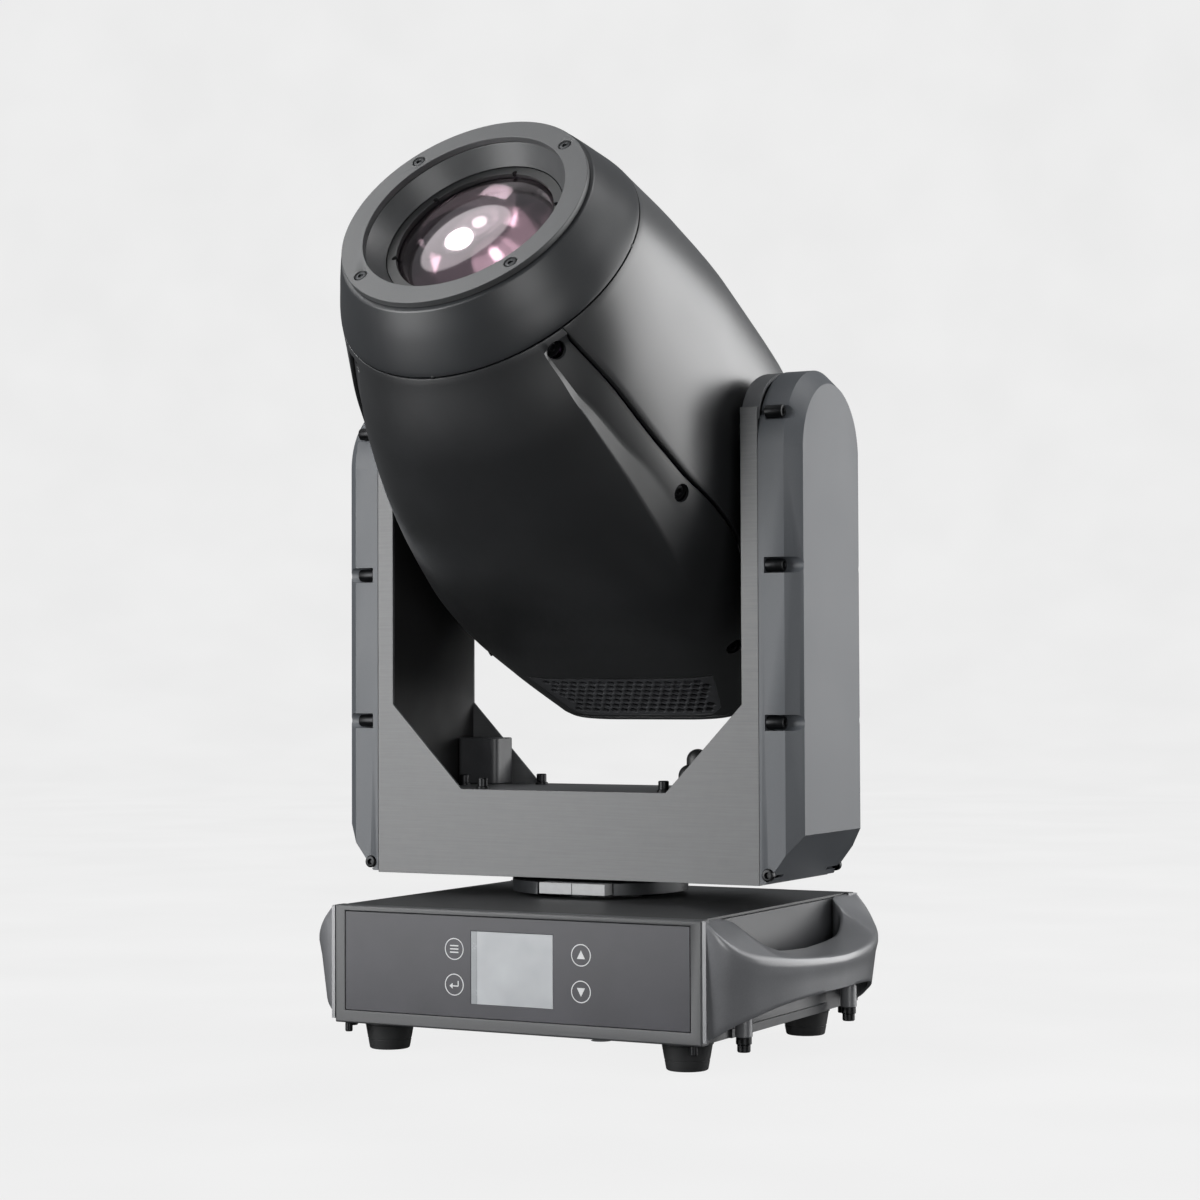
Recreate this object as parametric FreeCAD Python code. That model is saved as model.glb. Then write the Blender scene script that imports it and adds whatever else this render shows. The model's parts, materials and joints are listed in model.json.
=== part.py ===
import FreeCAD, Part
import math
import os
from FreeCAD import Vector

# Moving head light. Millimetres, +Z up, feet on z = 0, control panel towards -Y, tilt axis along X.

# Base
baseHalfWidth = 192.4
baseHalfDepth = 172.6
baseLow = 26.9
baseHigh = 137.3
bezelThick = 14.3
sideWall = 188.0
wallThick = 3.0
fit = 0.3
footX = 157.5
footY = 131.4
footTopRadius = 24.0
footLowRadius = 19.0
glassHalfWidth = 180.3
glassLow = 39.5
glassHigh = 131.4
glassThick = 3.8
screenLeft = -43.3
screenRight = 42.9
screenLow = 51.7
screenHigh = 118.5
coverCrown = 142.6
bracketSpacingX = 220.0
bracketSpacingY = 106.0
bracketHoleRadius = 5.5
safetyHoleRadius = 6.5
safetyHoleY = 120.0
pillarX = 200.0
pillarY = 120.0
neckRadius = 85.0
neckLow = 146.0
neckHigh = 157.8

# Yoke
plateY = 78.0
plateThick = 2.5
yokeLow = 161.3
yokeHalfWidth = 205.0
armInner = 187.8
plateTop = 597.0
gussetTop = 325.4
beamTop = 243.8
beamHalfWidth = 109.9
tiltHeight = 557.5
armTop = 634.5
coverShoulder = 231.0
coverFace = 244.5
coverBevel = 13.0
coverWall = 3.0
coverLow = 163.0
coverChamferX = 211.0
coverChamferTop = 207.0
screwHeights = (592.0, 452.0, 309.0)
screwRadius = 6.0
screwY = 71.5
pinionRadius = 9.5
panPulleyRadius = 46.0
tiltPulleyRadius = 48.0
panMotorX = -120.0
tiltMotorZ = 360.0
shaftRadius = 4.0
runningGap = 0.05
trunnionRadius = 20.0
bearingRadius = 37.0

# Head, measured from the tilt axis, along the light beam (h), with "under" the side the beam tips over
restTilt = 50.6
frontHeight = 330.0
seamHeight = 271.0
rearHeight = -236.0
shellWall = 6.0
ringOuter = 119.3
ringInner = 98.0
ringThick = 6.0
ringScrewCircle = 108.5
coneInner = 86.5
lensRadius = 79.9
lensSag = 20.0
lensEdgeLow = 290.3
lensEdgeHigh = 298.0
grilleWide = 103.0
grilleNarrow = 84.0
grilleFront = -161.0
grilleRear = -231.0
hexPitch = 10.5
hexFlats = 8.4
fanX = 45.0
fanHeight = -192.0
fanSize = 80.0
fanDepth = 25.0
fanFace = 114.0
wheelOffset = 52.0
wheelRadius = 74.0
windowRadius = 13.0
rodCircle = 66.0
rodRadius = 4.0
zoomRest = 205.0
focusRest = 120.0

# Outer shape of the head: height, half width, depth under, depth over, squareness of the section
headSections = (
    (330.0, 119.3, 119.3, 119.3, 2.0),
    (300.0, 134.0, 138.0, 134.0, 2.0),
    (271.0, 146.0, 152.8, 147.0, 2.0),
    (190.0, 158.0, 184.0, 169.0, 2.25),
    (100.0, 169.5, 191.0, 182.0, 2.55),
    (0.0, 175.5, 180.0, 182.0, 3.1),
    (-90.0, 167.0, 157.5, 165.0, 4.2),
    (-170.0, 148.0, 136.5, 141.0, 5.2),
    (-236.0, 120.0, 125.5, 126.0, 5.8),
)

# Parting line between the two shells: height and position across the beam
partingLine = ((275.0, -101.5), (265.0, -101.0), (179.0, -92.0), (82.0, -80.0), (0.0, -80.0), (-125.0, -104.0), (-240.0, -100.0))


def box(x0, x1, y0, y1, z0, z1):
    low = Vector(min(x0, x1), min(y0, y1), min(z0, z1))
    return Part.makeBox(abs(x1 - x0), abs(y1 - y0), abs(z1 - z0), low)


def rod(radius, x, y, z, length, axis=(0, 0, 1)):
    return Part.makeCylinder(radius, length, Vector(x, y, z), Vector(*axis))


def tube(outer, inner, x, y, z, length, axis=(0, 0, 1)):
    return rod(outer, x, y, z, length, axis).cut(rod(inner, x, y, z, length, axis))


def prismX(points, x0, x1):
    # outline given as (y, z) pairs
    wire = Part.makePolygon([Vector(x0, y, z) for y, z in points + [points[0]]])
    return Part.Face(wire).extrude(Vector(x1 - x0, 0, 0))


def prismY(points, y0, y1):
    # outline given as (x, z) pairs
    wire = Part.makePolygon([Vector(x, y0, z) for x, z in points + [points[0]]])
    return Part.Face(wire).extrude(Vector(0, y1 - y0, 0))


def prismZ(points, z0, z1):
    # outline given as (x, y) pairs
    wire = Part.makePolygon([Vector(x, y, z0) for x, y in points + [points[0]]])
    return Part.Face(wire).extrude(Vector(0, 0, z1 - z0))


def roundEdges(shape, radius, chosen):
    edges = [edge for edge in shape.Edges if chosen(edge)]
    return shape.makeFillet(radius, edges)


def alongZ(edge):
    span = edge.BoundBox
    return span.ZLength > 1.0 and span.XLength < 0.01 and span.YLength < 0.01


def frustum(halfX0, halfY0, z0, halfX1, halfY1, z1):
    wires = []
    for halfX, halfY, z in ((halfX0, halfY0, z0), (halfX1, halfY1, z1)):
        corners = [(-halfX, -halfY), (halfX, -halfY), (halfX, halfY), (-halfX, halfY), (-halfX, -halfY)]
        wires.append(Part.makePolygon([Vector(x, y, z) for x, y in corners]))
    return Part.makeLoft(wires, True, True)


def mirrorX(shape):
    return shape.mirror(Vector(0, 0, 0), Vector(1, 0, 0))


def joined(shapes):
    result = shapes[0]
    for shape in shapes[1:]:
        result = result.fuse(shape)
    return result.removeSplitter()


def group(shapes):
    return Part.makeCompound(shapes)


def save(name, shape):
    shape.exportStep("parts/" + name + ".step")


# ---------------------------------------------------------------- base

connectorX = (-150.0, -105.0, -45.0, 0.0, 60.0, 105.0)
connectorZ = 88.0


def baseTray():
    depth = baseHalfDepth - bezelThick - fit
    tray = box(-sideWall, sideWall, -depth, depth, baseLow, baseHigh - 3.2)
    inside = sideWall - wallThick
    tray = tray.cut(box(-inside, inside, -depth + wallThick, depth - wallThick, baseLow + 3.5, baseHigh))
    # two stepped ledges along the foot of each side
    for side in (-1, 1):
        tray = tray.fuse(box(side * (sideWall - 1), side * (sideWall + 3.0), -108, 108, baseLow, 35.0))
        tray = tray.fuse(box(side * (sideWall - 1), side * (sideWall + 1.5), -108, 108, 35.0, 46.0))
    tray = tray.removeSplitter()
    for x in (-bracketSpacingX / 2, bracketSpacingX / 2):
        for y in (-bracketSpacingY / 2, bracketSpacingY / 2):
            tray = tray.cut(rod(bracketHoleRadius, x, y, baseLow - 1, 6))
    for x in connectorX:
        tray = tray.cut(rod(12.3, x, depth - wallThick - 2, connectorZ, 10, (0, 1, 0)))
    return tray.cut(rod(safetyHoleRadius, 0, safetyHoleY, baseLow - 1, 6))


def frontBezel():
    back = -baseHalfDepth + bezelThick
    bezel = box(-baseHalfWidth, baseHalfWidth, -baseHalfDepth, back, baseLow, baseHigh)
    bezel = roundEdges(bezel, 2.0, lambda e: e.BoundBox.YMax < -baseHalfDepth + 0.01)
    seat = box(-glassHalfWidth - 0.7, glassHalfWidth + 0.7, -baseHalfDepth - 1, -baseHalfDepth + glassThick + 0.7,
               glassLow - 0.7, glassHigh + 0.7)
    bezel = bezel.cut(seat)
    window = box(screenLeft - 3, screenRight + 3, -baseHalfDepth, back + 1, screenLow - 3, screenHigh + 3)
    return bezel.cut(window)


def controlGlass():
    front = -baseHalfDepth + 0.4
    glass = box(-glassHalfWidth, glassHalfWidth, front, front + glassThick, glassLow, glassHigh)
    return glass


def displayScreen():
    front = -baseHalfDepth + glassThick + 1.0
    return box(screenLeft, screenRight, front, front + 5.0, screenLow, screenHigh)


def rearPanel():
    front = baseHalfDepth - bezelThick
    panel = box(-baseHalfWidth, baseHalfWidth, front, baseHalfDepth, baseLow, baseHigh)
    panel = roundEdges(panel, 2.0, lambda e: e.BoundBox.YMin > baseHalfDepth - 0.01)
    panel = panel.cut(box(-176, 131, baseHalfDepth - 6, baseHalfDepth + 1, 62, 114))
    for x in connectorX:
        panel = panel.cut(rod(12.3, x, front - 1, connectorZ, 20, (0, 1, 0)))
    return panel


def rearConnectors():
    shapes = []
    flange = baseHalfDepth - 6 + fit
    for index, x in enumerate(connectorX):
        body = box(x - 13, x + 13, flange, flange + 2.5, connectorZ - 15.5, connectorZ + 15.5)
        body = body.fuse(rod(12.0, x, flange - 24, connectorZ, 24.5, (0, 1, 0)))
        if index < 2:
            body = body.cut(tube(10.0, 6.5, x, flange - 9, connectorZ, 20, (0, 1, 0)))
        elif index < 4:
            body = body.cut(rod(9.0, x, flange - 9, connectorZ, 20, (0, 1, 0)))
        else:
            body = body.cut(box(x - 6, x + 6, flange - 9, flange + 6, connectorZ - 5, connectorZ + 6))
        shapes.append(body)
    return group(shapes)


def topCover():
    depth = baseHalfDepth - bezelThick - fit
    low = baseHigh - 2.9
    cover = box(-sideWall, sideWall, -depth, depth, low, baseHigh)
    cover = cover.fuse(frustum(sideWall, depth, baseHigh, 142, 112, coverCrown))
    hollow = frustum(sideWall - 6, depth - 6, low - 0.1, 140, 110, coverCrown - 2.6)
    return cover.removeSplitter().cut(hollow).cut(rod(62, 0, 0, low - 1, 20))


# Front half of the handle: inner lip, outer lip and lower edge at each section, then mirrored to the rear
handleSections = (
    ((188.3, -158.0, 137.0), (196.5, -172.3, 137.0), 30.0),
    ((188.3, -152.0, 137.0), (206.0, -169.5, 126.0), 34.0),
    ((188.3, -144.0, 137.0), (213.0, -165.0, 118.5), 38.0),
    ((188.3, -134.0, 137.0), (222.0, -155.0, 110.0), 44.0),
    ((190.0, -124.0, 136.0), (231.0, -140.0, 104.5), 49.0),
    ((196.0, -115.5, 132.0), (239.0, -120.0, 101.0), 54.0),
    ((203.0, -111.0, 121.0), (245.0, -100.0, 99.0), 58.0),
    ((208.0, -98.0, 111.0), (250.0, -75.0, 97.5), 61.0),
    ((212.0, -76.0, 104.0), (253.0, -50.0, 96.3), 62.5),
    ((213.0, -42.0, 101.0), (255.0, -25.0, 95.5), 63.0),
    ((213.3, 0.0, 99.5), (256.0, 0.0, 95.0), 63.0),
)


def solidThrough(rows):
    # solid with flat triangles between neighbouring rows of corners
    faces = []
    for row, after in zip(rows, rows[1:]):
        for i in range(len(row)):
            j = (i + 1) % len(row)
            faces.append(Part.Face(Part.makePolygon([row[i], row[j], after[j], row[i]])))
            faces.append(Part.Face(Part.makePolygon([row[i], after[j], after[i], row[i]])))
    for end in (rows[0], rows[-1]):
        for i in range(1, len(end) - 1):
            faces.append(Part.Face(Part.makePolygon([end[0], end[i], end[i + 1], end[0]])))
    shell = Part.makeShell(faces)
    shell.sewShape()
    solid = Part.Solid(shell)
    if solid.Volume < 0:
        solid.reverse()
    return solid


def handleBand(inset):
    sections = list(handleSections)
    sections += [((i[0], -i[1], i[2]), (o[0], -o[1], o[2]), low) for i, o, low in reversed(sections[:-1])]
    if inset > 0:
        sections = sections[2:-2]
    rows = []
    for inner, outer, low in sections:
        along = Vector(outer[0] - inner[0], outer[1] - inner[1], 0)
        along.normalize()
        a = Vector(*inner) + along * inset - Vector(0, 0, inset)
        b = Vector(*outer) - along * inset - Vector(0, 0, inset)
        floor = low - 3 * inset
        # the outer face leans in towards its lower edge, most at the corners
        lean = along * (3.0 + 5.0 * abs(outer[1]) / baseHalfDepth)
        rows.append([a, b, Vector(b.x - lean.x, b.y - lean.y, floor), Vector(a.x, a.y, floor)])
    return solidThrough(rows)


def handle():
    casting = handleBand(0.0).cut(handleBand(4.0))
    for side in (-1, 1):
        # the band's ends stop beside the bezels, with a corner web to fill the gap
        casting = casting.cut(box(180, baseHalfWidth + fit, side * 158.0, side * 175.0, 20, 140))
        corner = [(192.7, side * 158.4), (196.4, side * 172.4), (192.7, side * 172.4)]
        casting = casting.fuse(prismZ(corner, 30, 137))
    for y in (-pillarY, pillarY):
        casting = casting.fuse(rod(8.0, pillarX + 4, y, 31.0, 70.0).common(box(188.3, 260, -150, 150, 31, 95)))
    return casting


def baseScrews():
    shapes = []
    for side in (-1, 1):
        for y in (-pillarY, pillarY):
            head = rod(6.0, side * (pillarX + 4), y, 17.0, 11.0)
            head = head.fuse(rod(7.2, side * (pillarX + 4), y, 24.0, 6.7))
            shapes.append(head.removeSplitter().cut(rod(2.5, side * (pillarX + 4), y, 16.0, 6.0)))
        for y in (-166.0, 166.0):
            shapes.append(rod(3.6, side * 181.0, y, 18.0, 8.6))
    return group(shapes)


def rubberFeet():
    feet = []
    for x in (-footX, footX):
        for y in (-footY, footY):
            cone = Part.makeCone(footLowRadius, footTopRadius, baseLow - fit, Vector(x, y, 0), Vector(0, 0, 1))
            feet.append(cone.cut(rod(5.0, x, y, -1, 9)))
    return group(feet)


def powerSupply():
    return box(60, 172, -120, 60, 31, 92)


def controlBoard():
    board = box(-170, 30, -152, -144, 50, 54).fuse(box(-170, 30, -146, -144, 50, 124))
    for x in (-140, -100, -10):
        board = board.fuse(box(x, x + 22, -144.5, -137, 64, 90))
    return board.removeSplitter()


def panShaft():
    shaft = rod(58, 0, 0, 30.7, 8).fuse(rod(40, 0, 0, 38, neckLow - 37.5))
    disc = rod(neckRadius, 0, 0, neckLow, neckHigh - neckLow)
    disc = disc.cut(box(-24, 50, -90, -64, neckLow - 1, neckHigh + 1))
    shaft = shaft.fuse(disc).fuse(rod(28, 0, 0, neckHigh - 0.5, 48))
    shaft = shaft.fuse(rod(panPulleyRadius, 0, 0, 172, 12))
    return shaft.removeSplitter().cut(rod(18, 0, 0, 20, 200))


def panLockBlock():
    left = box(-22, 12.7, -82, -66, neckLow + 1, neckHigh - 0.3)
    right = box(13.3, 48, -82, -66, neckLow + 1, neckHigh - 0.3)
    return left.fuse(right).fuse(box(-22, 48, -80, -66, neckLow + 1, neckHigh - 0.8)).removeSplitter()


# ---------------------------------------------------------------- yoke

def yokePlate(side):
    right = [(yokeHalfWidth, yokeLow), (yokeHalfWidth, plateTop), (armInner, plateTop), (armInner, gussetTop),
             (beamHalfWidth, beamTop)]
    left = [(-x, z) for x, z in reversed(right)]
    plate = prismY(right + left, side * plateY, side * (plateY - plateThick))
    return plate


def armOutline(x, inset):
    # domed top of the arm, seen from the side
    half = plateY - plateThick - fit - inset
    low = beamTop + 0.3
    points = [(-half, 585.0), (-73 + inset, 597.0), (-61 + inset * 0.85, 615.0 - inset * 0.6),
              (-37 + inset * 0.4, 628.5 - inset), (0, armTop - inset)]
    points += [(-y, z) for y, z in reversed(points[:-1])]
    curve = Part.BSplineCurve()
    curve.interpolate([Vector(x, y, z) for y, z in points])
    edges = [curve.toShape()]
    edges.append(Part.makeLine(Vector(x, half, 585.0), Vector(x, half, low)))
    edges.append(Part.makeLine(Vector(x, half, low), Vector(x, -half, low)))
    edges.append(Part.makeLine(Vector(x, -half, low), Vector(x, -half, 585.0)))
    return Part.Face(Part.Wire(edges))


def armFrame():
    wall = armOutline(armInner, 0).extrude(Vector(2.5, 0, 0))
    strip = armOutline(armInner, 0).extrude(Vector(yokeHalfWidth - armInner, 0, 0))
    strip = strip.cut(armOutline(armInner - 1, 3.0).extrude(Vector(40, 0, 0)))
    strip = strip.common(box(180, 260, -90, 90, 586, 700))
    frame = wall.fuse(strip).fuse(rod(bearingRadius + 9, armInner + 1, 0, tiltHeight, 16, (1, 0, 0)))
    return frame.removeSplitter().cut(rod(bearingRadius + 0.1, armInner - 1, 0, tiltHeight, 40, (1, 0, 0)))


def crossbeamFloor():
    depth = plateY - plateThick - fit
    floor = box(-yokeHalfWidth, yokeHalfWidth, -depth, depth, yokeLow, yokeLow + 3)
    for side in (-1, 1):
        floor = floor.fuse(box(side * (yokeHalfWidth - 2.5), side * yokeHalfWidth, -depth, depth, yokeLow, 235))
    return floor.removeSplitter().cut(rod(42.3, 0, 0, 150, 30))


def crossbeamDeck():
    depth = plateY - plateThick - fit
    deck = box(-armInner - 2, armInner + 2, -depth, depth, beamTop - 3.3, beamTop - 0.3)
    return deck.cut(rod(7, -150, -40, 200, 60)).cut(rod(7, 150, -40, 200, 60))


def coverSolid(inset, start):
    # arm cover: straight rim, bevel, flat face, sloping foot
    solids = []
    for x0, x1, deep0, deep1 in ((start, coverShoulder, 0.0, 0.0), (coverShoulder, coverFace - inset, 0.0, coverBevel)):
        wires = []
        for x, deep in ((x0, deep0), (x1, deep1)):
            half = plateY - inset - deep
            low = coverLow + inset + deep
            arc = Part.Arc(Vector(x, -half, tiltHeight), Vector(x, 0, tiltHeight + half), Vector(x, half, tiltHeight))
            edges = [arc.toShape()]
            edges.append(Part.makeLine(Vector(x, half, tiltHeight), Vector(x, half, low)))
            edges.append(Part.makeLine(Vector(x, half, low), Vector(x, -half, low)))
            edges.append(Part.makeLine(Vector(x, -half, low), Vector(x, -half, tiltHeight)))
            wires.append(Part.Wire(edges))
        solids.append(Part.makeLoft(wires, True, True))
    solid = solids[0].fuse(solids[1]).removeSplitter()
    shift = inset * 1.2
    foot = [(coverChamferX, coverLow - 10 + shift), (coverChamferX, coverLow + shift),
            (coverFace + 10, coverChamferTop + shift + 13.3), (coverFace + 10, coverLow - 10 + shift)]
    return solid.cut(prismY(foot, -100, 100))


def armCover():
    start = yokeHalfWidth + fit
    whole = coverSolid(0.0, start)
    cover = whole.cut(coverSolid(coverWall, start - 1))
    for side in (-1, 1):
        for z in screwHeights:
            block = box(start, coverFace, side * 80, side * 61, z - 10.5, z + 10.5).common(whole)
            cover = cover.fuse(block)
        corner = box(start, 222, side * 80, side * 66, coverLow, 182).common(whole)
        cover = cover.fuse(corner)
    cover = cover.removeSplitter()
    for side in (-1, 1):
        for z in screwHeights:
            cover = cover.cut(rod(7.25, 211, side * screwY, z, 60, (1, 0, 0)))
            cover = cover.cut(box(211, 270, side * 90, side * screwY, z - 7.25, z + 7.25))
            cover = cover.cut(rod(3.3, 200, side * screwY, z, 30, (1, 0, 0)))
        cover = cover.cut(rod(6.2, 213.5, side * 74, 171, 20, (0, side, 0)))
        cover = cover.cut(rod(3.3, 213.5, side * 50, 171, 40, (0, side, 0)))
    return cover


def yokeScrews():
    shapes = []
    for side in (-1, 1):
        for across in (-1, 1):
            for z in screwHeights:
                head = rod(screwRadius, side * 211.5, across * screwY, z, 17.0, (side, 0, 0))
                head = head.cut(rod(3.0, side * 222, across * screwY, z, 8, (side, 0, 0)))
                shank = rod(3.0, side * 205.5, across * screwY, z, 8, (side, 0, 0))
                shapes.append(head.fuse(shank).removeSplitter())
            head = rod(5.6, side * 213.5, across * 74.5, 171, 5.5, (0, across, 0))
            shapes.append(head.cut(rod(2.6, side * 213.5, across * 77, 171, 5, (0, across, 0))))
    # captive screws that stand on the crossbeam's cover
    for x, y in ((-98, -58), (98, -58), (-98, 58), (-160, 10)):
        peg = rod(5.0, x, y, beamTop, 11).fuse(rod(6.5, x, y, beamTop, 2.5)).removeSplitter()
        shapes.append(peg.cut(rod(2.4, x, y, beamTop + 7, 8)))
    return group(shapes)


def tiltLockHousing():
    block = box(-186, -139, 38, 74.5, beamTop, 290)
    return roundEdges(block, 7.0, alongZ)


def ventGlands():
    shapes = []
    for x, y, tall in ((80, 52, 22), (88, 18, 8)):
        collar = rod(12.5, x, y, beamTop, 5).fuse(rod(11, x, y, beamTop + 4, tall))
        dome = Part.makeSphere(11, Vector(x, y, beamTop + 4 + tall))
        shapes.append(collar.fuse(dome).removeSplitter())
    return group(shapes)


def panMotor():
    body = roundEdges(box(panMotorX - 28.5, panMotorX + 28.5, -28.5, 28.5, 187, 237), 4.0, alongZ)
    return body.fuse(rod(shaftRadius, panMotorX, 0, 168, 20)).removeSplitter()


def tiltMotor():
    body = box(191.3, 221, -28.5, 28.5, tiltMotorZ - 28.5, tiltMotorZ + 28.5)
    return body.fuse(rod(shaftRadius, 220, 0, tiltMotorZ, 16, (1, 0, 0))).removeSplitter()


def toothedPulley(radius, teeth, width):
    # round-toothed belt pulley with its axis along Z
    pulley = rod(radius, 0, 0, 0, width)
    grooves = []
    for index in range(teeth):
        angle = 2 * math.pi * index / teeth
        grooves.append(rod(0.9, radius * math.cos(angle), radius * math.sin(angle), -1, width + 2))
    return pulley.cut(grooves)


def panMotorPulley():
    pulley = toothedPulley(pinionRadius, 20, 12).cut(rod(shaftRadius + runningGap, 0, 0, -1, 20))
    pulley.translate(Vector(panMotorX, 0, 172))
    return pulley


def tiltMotorPulley():
    pulley = toothedPulley(pinionRadius, 20, 10).cut(rod(shaftRadius + runningGap, 0, 0, -1, 20))
    pulley.rotate(Vector(0, 0, 0), Vector(0, 1, 0), 90)
    pulley.translate(Vector(223, 0, tiltMotorZ))
    return pulley


def beltLoop(bigRadius, smallRadius, distance, width):
    # belt in the XY plane round a big wheel at the origin and a small one at +X
    def racetrack(extra):
        big = bigRadius + extra
        small = smallRadius + extra
        lean = math.acos((big - small) / distance)
        bigTop = (big * math.cos(lean), big * math.sin(lean))
        smallTop = (distance + small * math.cos(lean), small * math.sin(lean))
        outline = [bigTop, smallTop, (smallTop[0], -smallTop[1]), (bigTop[0], -bigTop[1])]
        middle = prismZ(outline, 0, width)
        return middle.fuse(rod(big, 0, 0, 0, width)).fuse(rod(small, distance, 0, 0, width)).removeSplitter()
    return racetrack(1.9).cut(racetrack(0.3))


def panBelt():
    belt = beltLoop(panPulleyRadius, pinionRadius, -panMotorX, 10)
    belt.rotate(Vector(0, 0, 0), Vector(0, 0, 1), 180)
    belt.translate(Vector(0, 0, 173))
    return belt


def tiltBelt():
    belt = beltLoop(tiltPulleyRadius, pinionRadius, tiltHeight - tiltMotorZ, 8)
    belt.rotate(Vector(0, 0, 0), Vector(0, 1, 0), 90)
    belt.translate(Vector(224, 0, tiltHeight))
    return belt


def shaftBearings():
    shapes = [tube(42.0, 28.0 + runningGap, 0, 0, 161.4, 10)]
    for side in (-1, 1):
        shapes.append(tube(bearingRadius, trunnionRadius + runningGap, side * 190, 0, tiltHeight, 13, (side, 0, 0)))
    return group(shapes)


# ---------------------------------------------------------------- head (built upright, then tipped forward)

def placeHead(shape):
    shape = shape.copy()
    shape.rotate(Vector(0, 0, 0), Vector(1, 0, 0), restTilt)
    shape.translate(Vector(0, 0, tiltHeight))
    return shape


def sectionWire(height, halfWidth, under, over, squareness, inset):
    points = []
    count = 32
    for index in range(count):
        angle = 2 * math.pi * index / count
        cosine = math.cos(angle)
        sine = math.sin(angle)
        depth = (over if sine > 0 else under) - inset
        x = (halfWidth - inset) * math.copysign(abs(cosine) ** (2 / squareness), cosine)
        y = depth * math.copysign(abs(sine) ** (2 / squareness), sine)
        points.append(Vector(x, y, height))
    curve = Part.BSplineCurve()
    curve.interpolate(points, True)
    return Part.Wire([curve.toShape()])


def headForm(inset):
    wires = [sectionWire(*row, inset) for row in reversed(headSections)]
    return Part.makeLoft(wires, True, False)


def partingTool(shift):
    points = [Vector(-300, y + shift, z) for z, y in partingLine]
    curve = Part.BSplineCurve()
    curve.interpolate(points)
    first = points[0]
    last = points[-1]
    edges = [curve.toShape()]
    edges.append(Part.makeLine(last, Vector(-300, 400, last.z)))
    edges.append(Part.makeLine(Vector(-300, 400, last.z), Vector(-300, 400, first.z)))
    edges.append(Part.makeLine(Vector(-300, 400, first.z), first))
    return Part.Face(Part.Wire(edges)).extrude(Vector(600, 0, 0))


def sectionAt(height):
    for upper, lower in zip(headSections, headSections[1:]):
        if lower[0] <= height <= upper[0]:
            share = (height - lower[0]) / (upper[0] - lower[0])
            return [low + share * (high - low) for high, low in zip(upper, lower)]
    return list(headSections[-1])


def surfaceX(height, y):
    # half width of the shell at this height and this depth under the beam
    row = sectionAt(height)
    share = 1 - (abs(y) / row[2]) ** row[4]
    return row[1] * max(share, 0.01) ** (1 / row[4])


# Side channel under the parting line: height, then upper edge, fold and lower edge across the beam
channelDepth = 3.4
channelSections = (
    (262.0, -101.0, -111.0, -118.0),
    (225.0, -97.0, -116.0, -129.0),
    (190.0, -93.2, -120.0, -137.0),
    (150.0, -88.5, -123.0, -143.0),
    (110.0, -83.5, -124.0, -147.0),
    (70.0, -80.6, -123.0, -147.0),
    (30.0, -80.6, -119.0, -144.0),
    (-10.0, -81.5, -114.0, -139.0),
    (-50.0, -88.0, -110.0, -131.0),
    (-85.0, -98.0, -107.0, -120.0),
)


def channelTool():
    wires = []
    for height, upper, fold, lower in channelSections:
        top = surfaceX(height, upper)
        points = [Vector(top + 12, upper, height), Vector(top - channelDepth, upper, height)]
        points.append(Vector(surfaceX(height, fold) - channelDepth, fold, height))
        points.append(Vector(surfaceX(height, lower) + 0.5, lower, height))
        points.append(Vector(surfaceX(height, lower) + 14, lower - 4, height))
        wires.append(Part.makePolygon(points + [points[0]]))
    return Part.makeLoft(wires, True, True)


shellScrewSpots = ((252.0, 101.0, -108.0), (72.5, 153.5, -104.0), (-125.0, 148.0, -118.0))


def grilleWindow(edge):
    points = []
    front = grilleFront + edge
    rear = grilleRear - edge
    return [(-grilleWide - edge, front), (grilleWide + edge, front), (grilleNarrow + edge, rear), (-grilleNarrow - edge, rear)]


def hexGrille(outer, side):
    plate = outer.common(prismY(grilleWindow(0.0), 0, side * 200)).cut(headForm(3.5))
    holes = []
    radius = hexFlats / math.sqrt(3)
    rows = 7
    rowStep = hexPitch * math.sqrt(3) / 2
    for row in range(rows):
        h = grilleFront - 7.5 - row * rowStep
        reach = grilleWide - (grilleWide - grilleNarrow) * (grilleFront - h) / (grilleFront - grilleRear) - 8
        count = int(reach / hexPitch)
        offset = 0.5 * hexPitch * (row % 2)
        for index in range(-count, count + 1):
            x = index * hexPitch + offset
            if abs(x) > reach:
                continue
            corners = []
            for corner in range(6):
                angle = math.radians(60 * corner + 30)
                corners.append((x + radius * math.cos(angle), h + radius * math.sin(angle)))
            holes.append(prismY(corners, side * 100, side * 200))
    return plate.cut(holes)


def fanFrame(x, side):
    half = fanSize / 2
    low = side * (fanFace - fanDepth)
    frame = box(x - half, x + half, low, side * fanFace, fanHeight - half, fanHeight + half)
    frame = frame.cut(rod(37.0, x, low - side, fanHeight, 40, (0, side, 0)))
    hub = rod(14.0, x, low, fanHeight, 2.0, (0, side, 0)).fuse(rod(2.0, x, low, fanHeight, 16, (0, side, 0)))
    frame = frame.fuse(hub)
    for turn in range(3):
        strut = box(x, x + 38.5, low, low + side * 2, fanHeight - 2, fanHeight + 2)
        strut.rotate(Vector(x, 0, fanHeight), Vector(0, 1, 0), 120 * turn + 40)
        frame = frame.fuse(strut)
    return frame.removeSplitter()


def fanRotor(x, side):
    start = side * (fanFace - fanDepth + 3.0)
    rotor = rod(14.5, x, start, fanHeight, 19.0, (0, side, 0))
    for turn in range(7):
        blade = box(x + 13, x + 35.5, start + side * 9 - 0.8, start + side * 9 + 0.8, fanHeight - 10.5, fanHeight + 10.5)
        blade.rotate(Vector(x, start + side * 9, fanHeight), Vector(1, 0, 0), 35)
        blade.rotate(Vector(x, 0, fanHeight), Vector(0, 1, 0), 360.0 / 7 * turn)
        rotor = rotor.fuse(blade)
    rotor = rotor.removeSplitter()
    return rotor.cut(rod(2.0 + runningGap, x, start - side, fanHeight, 17, (0, side, 0)))


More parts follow.
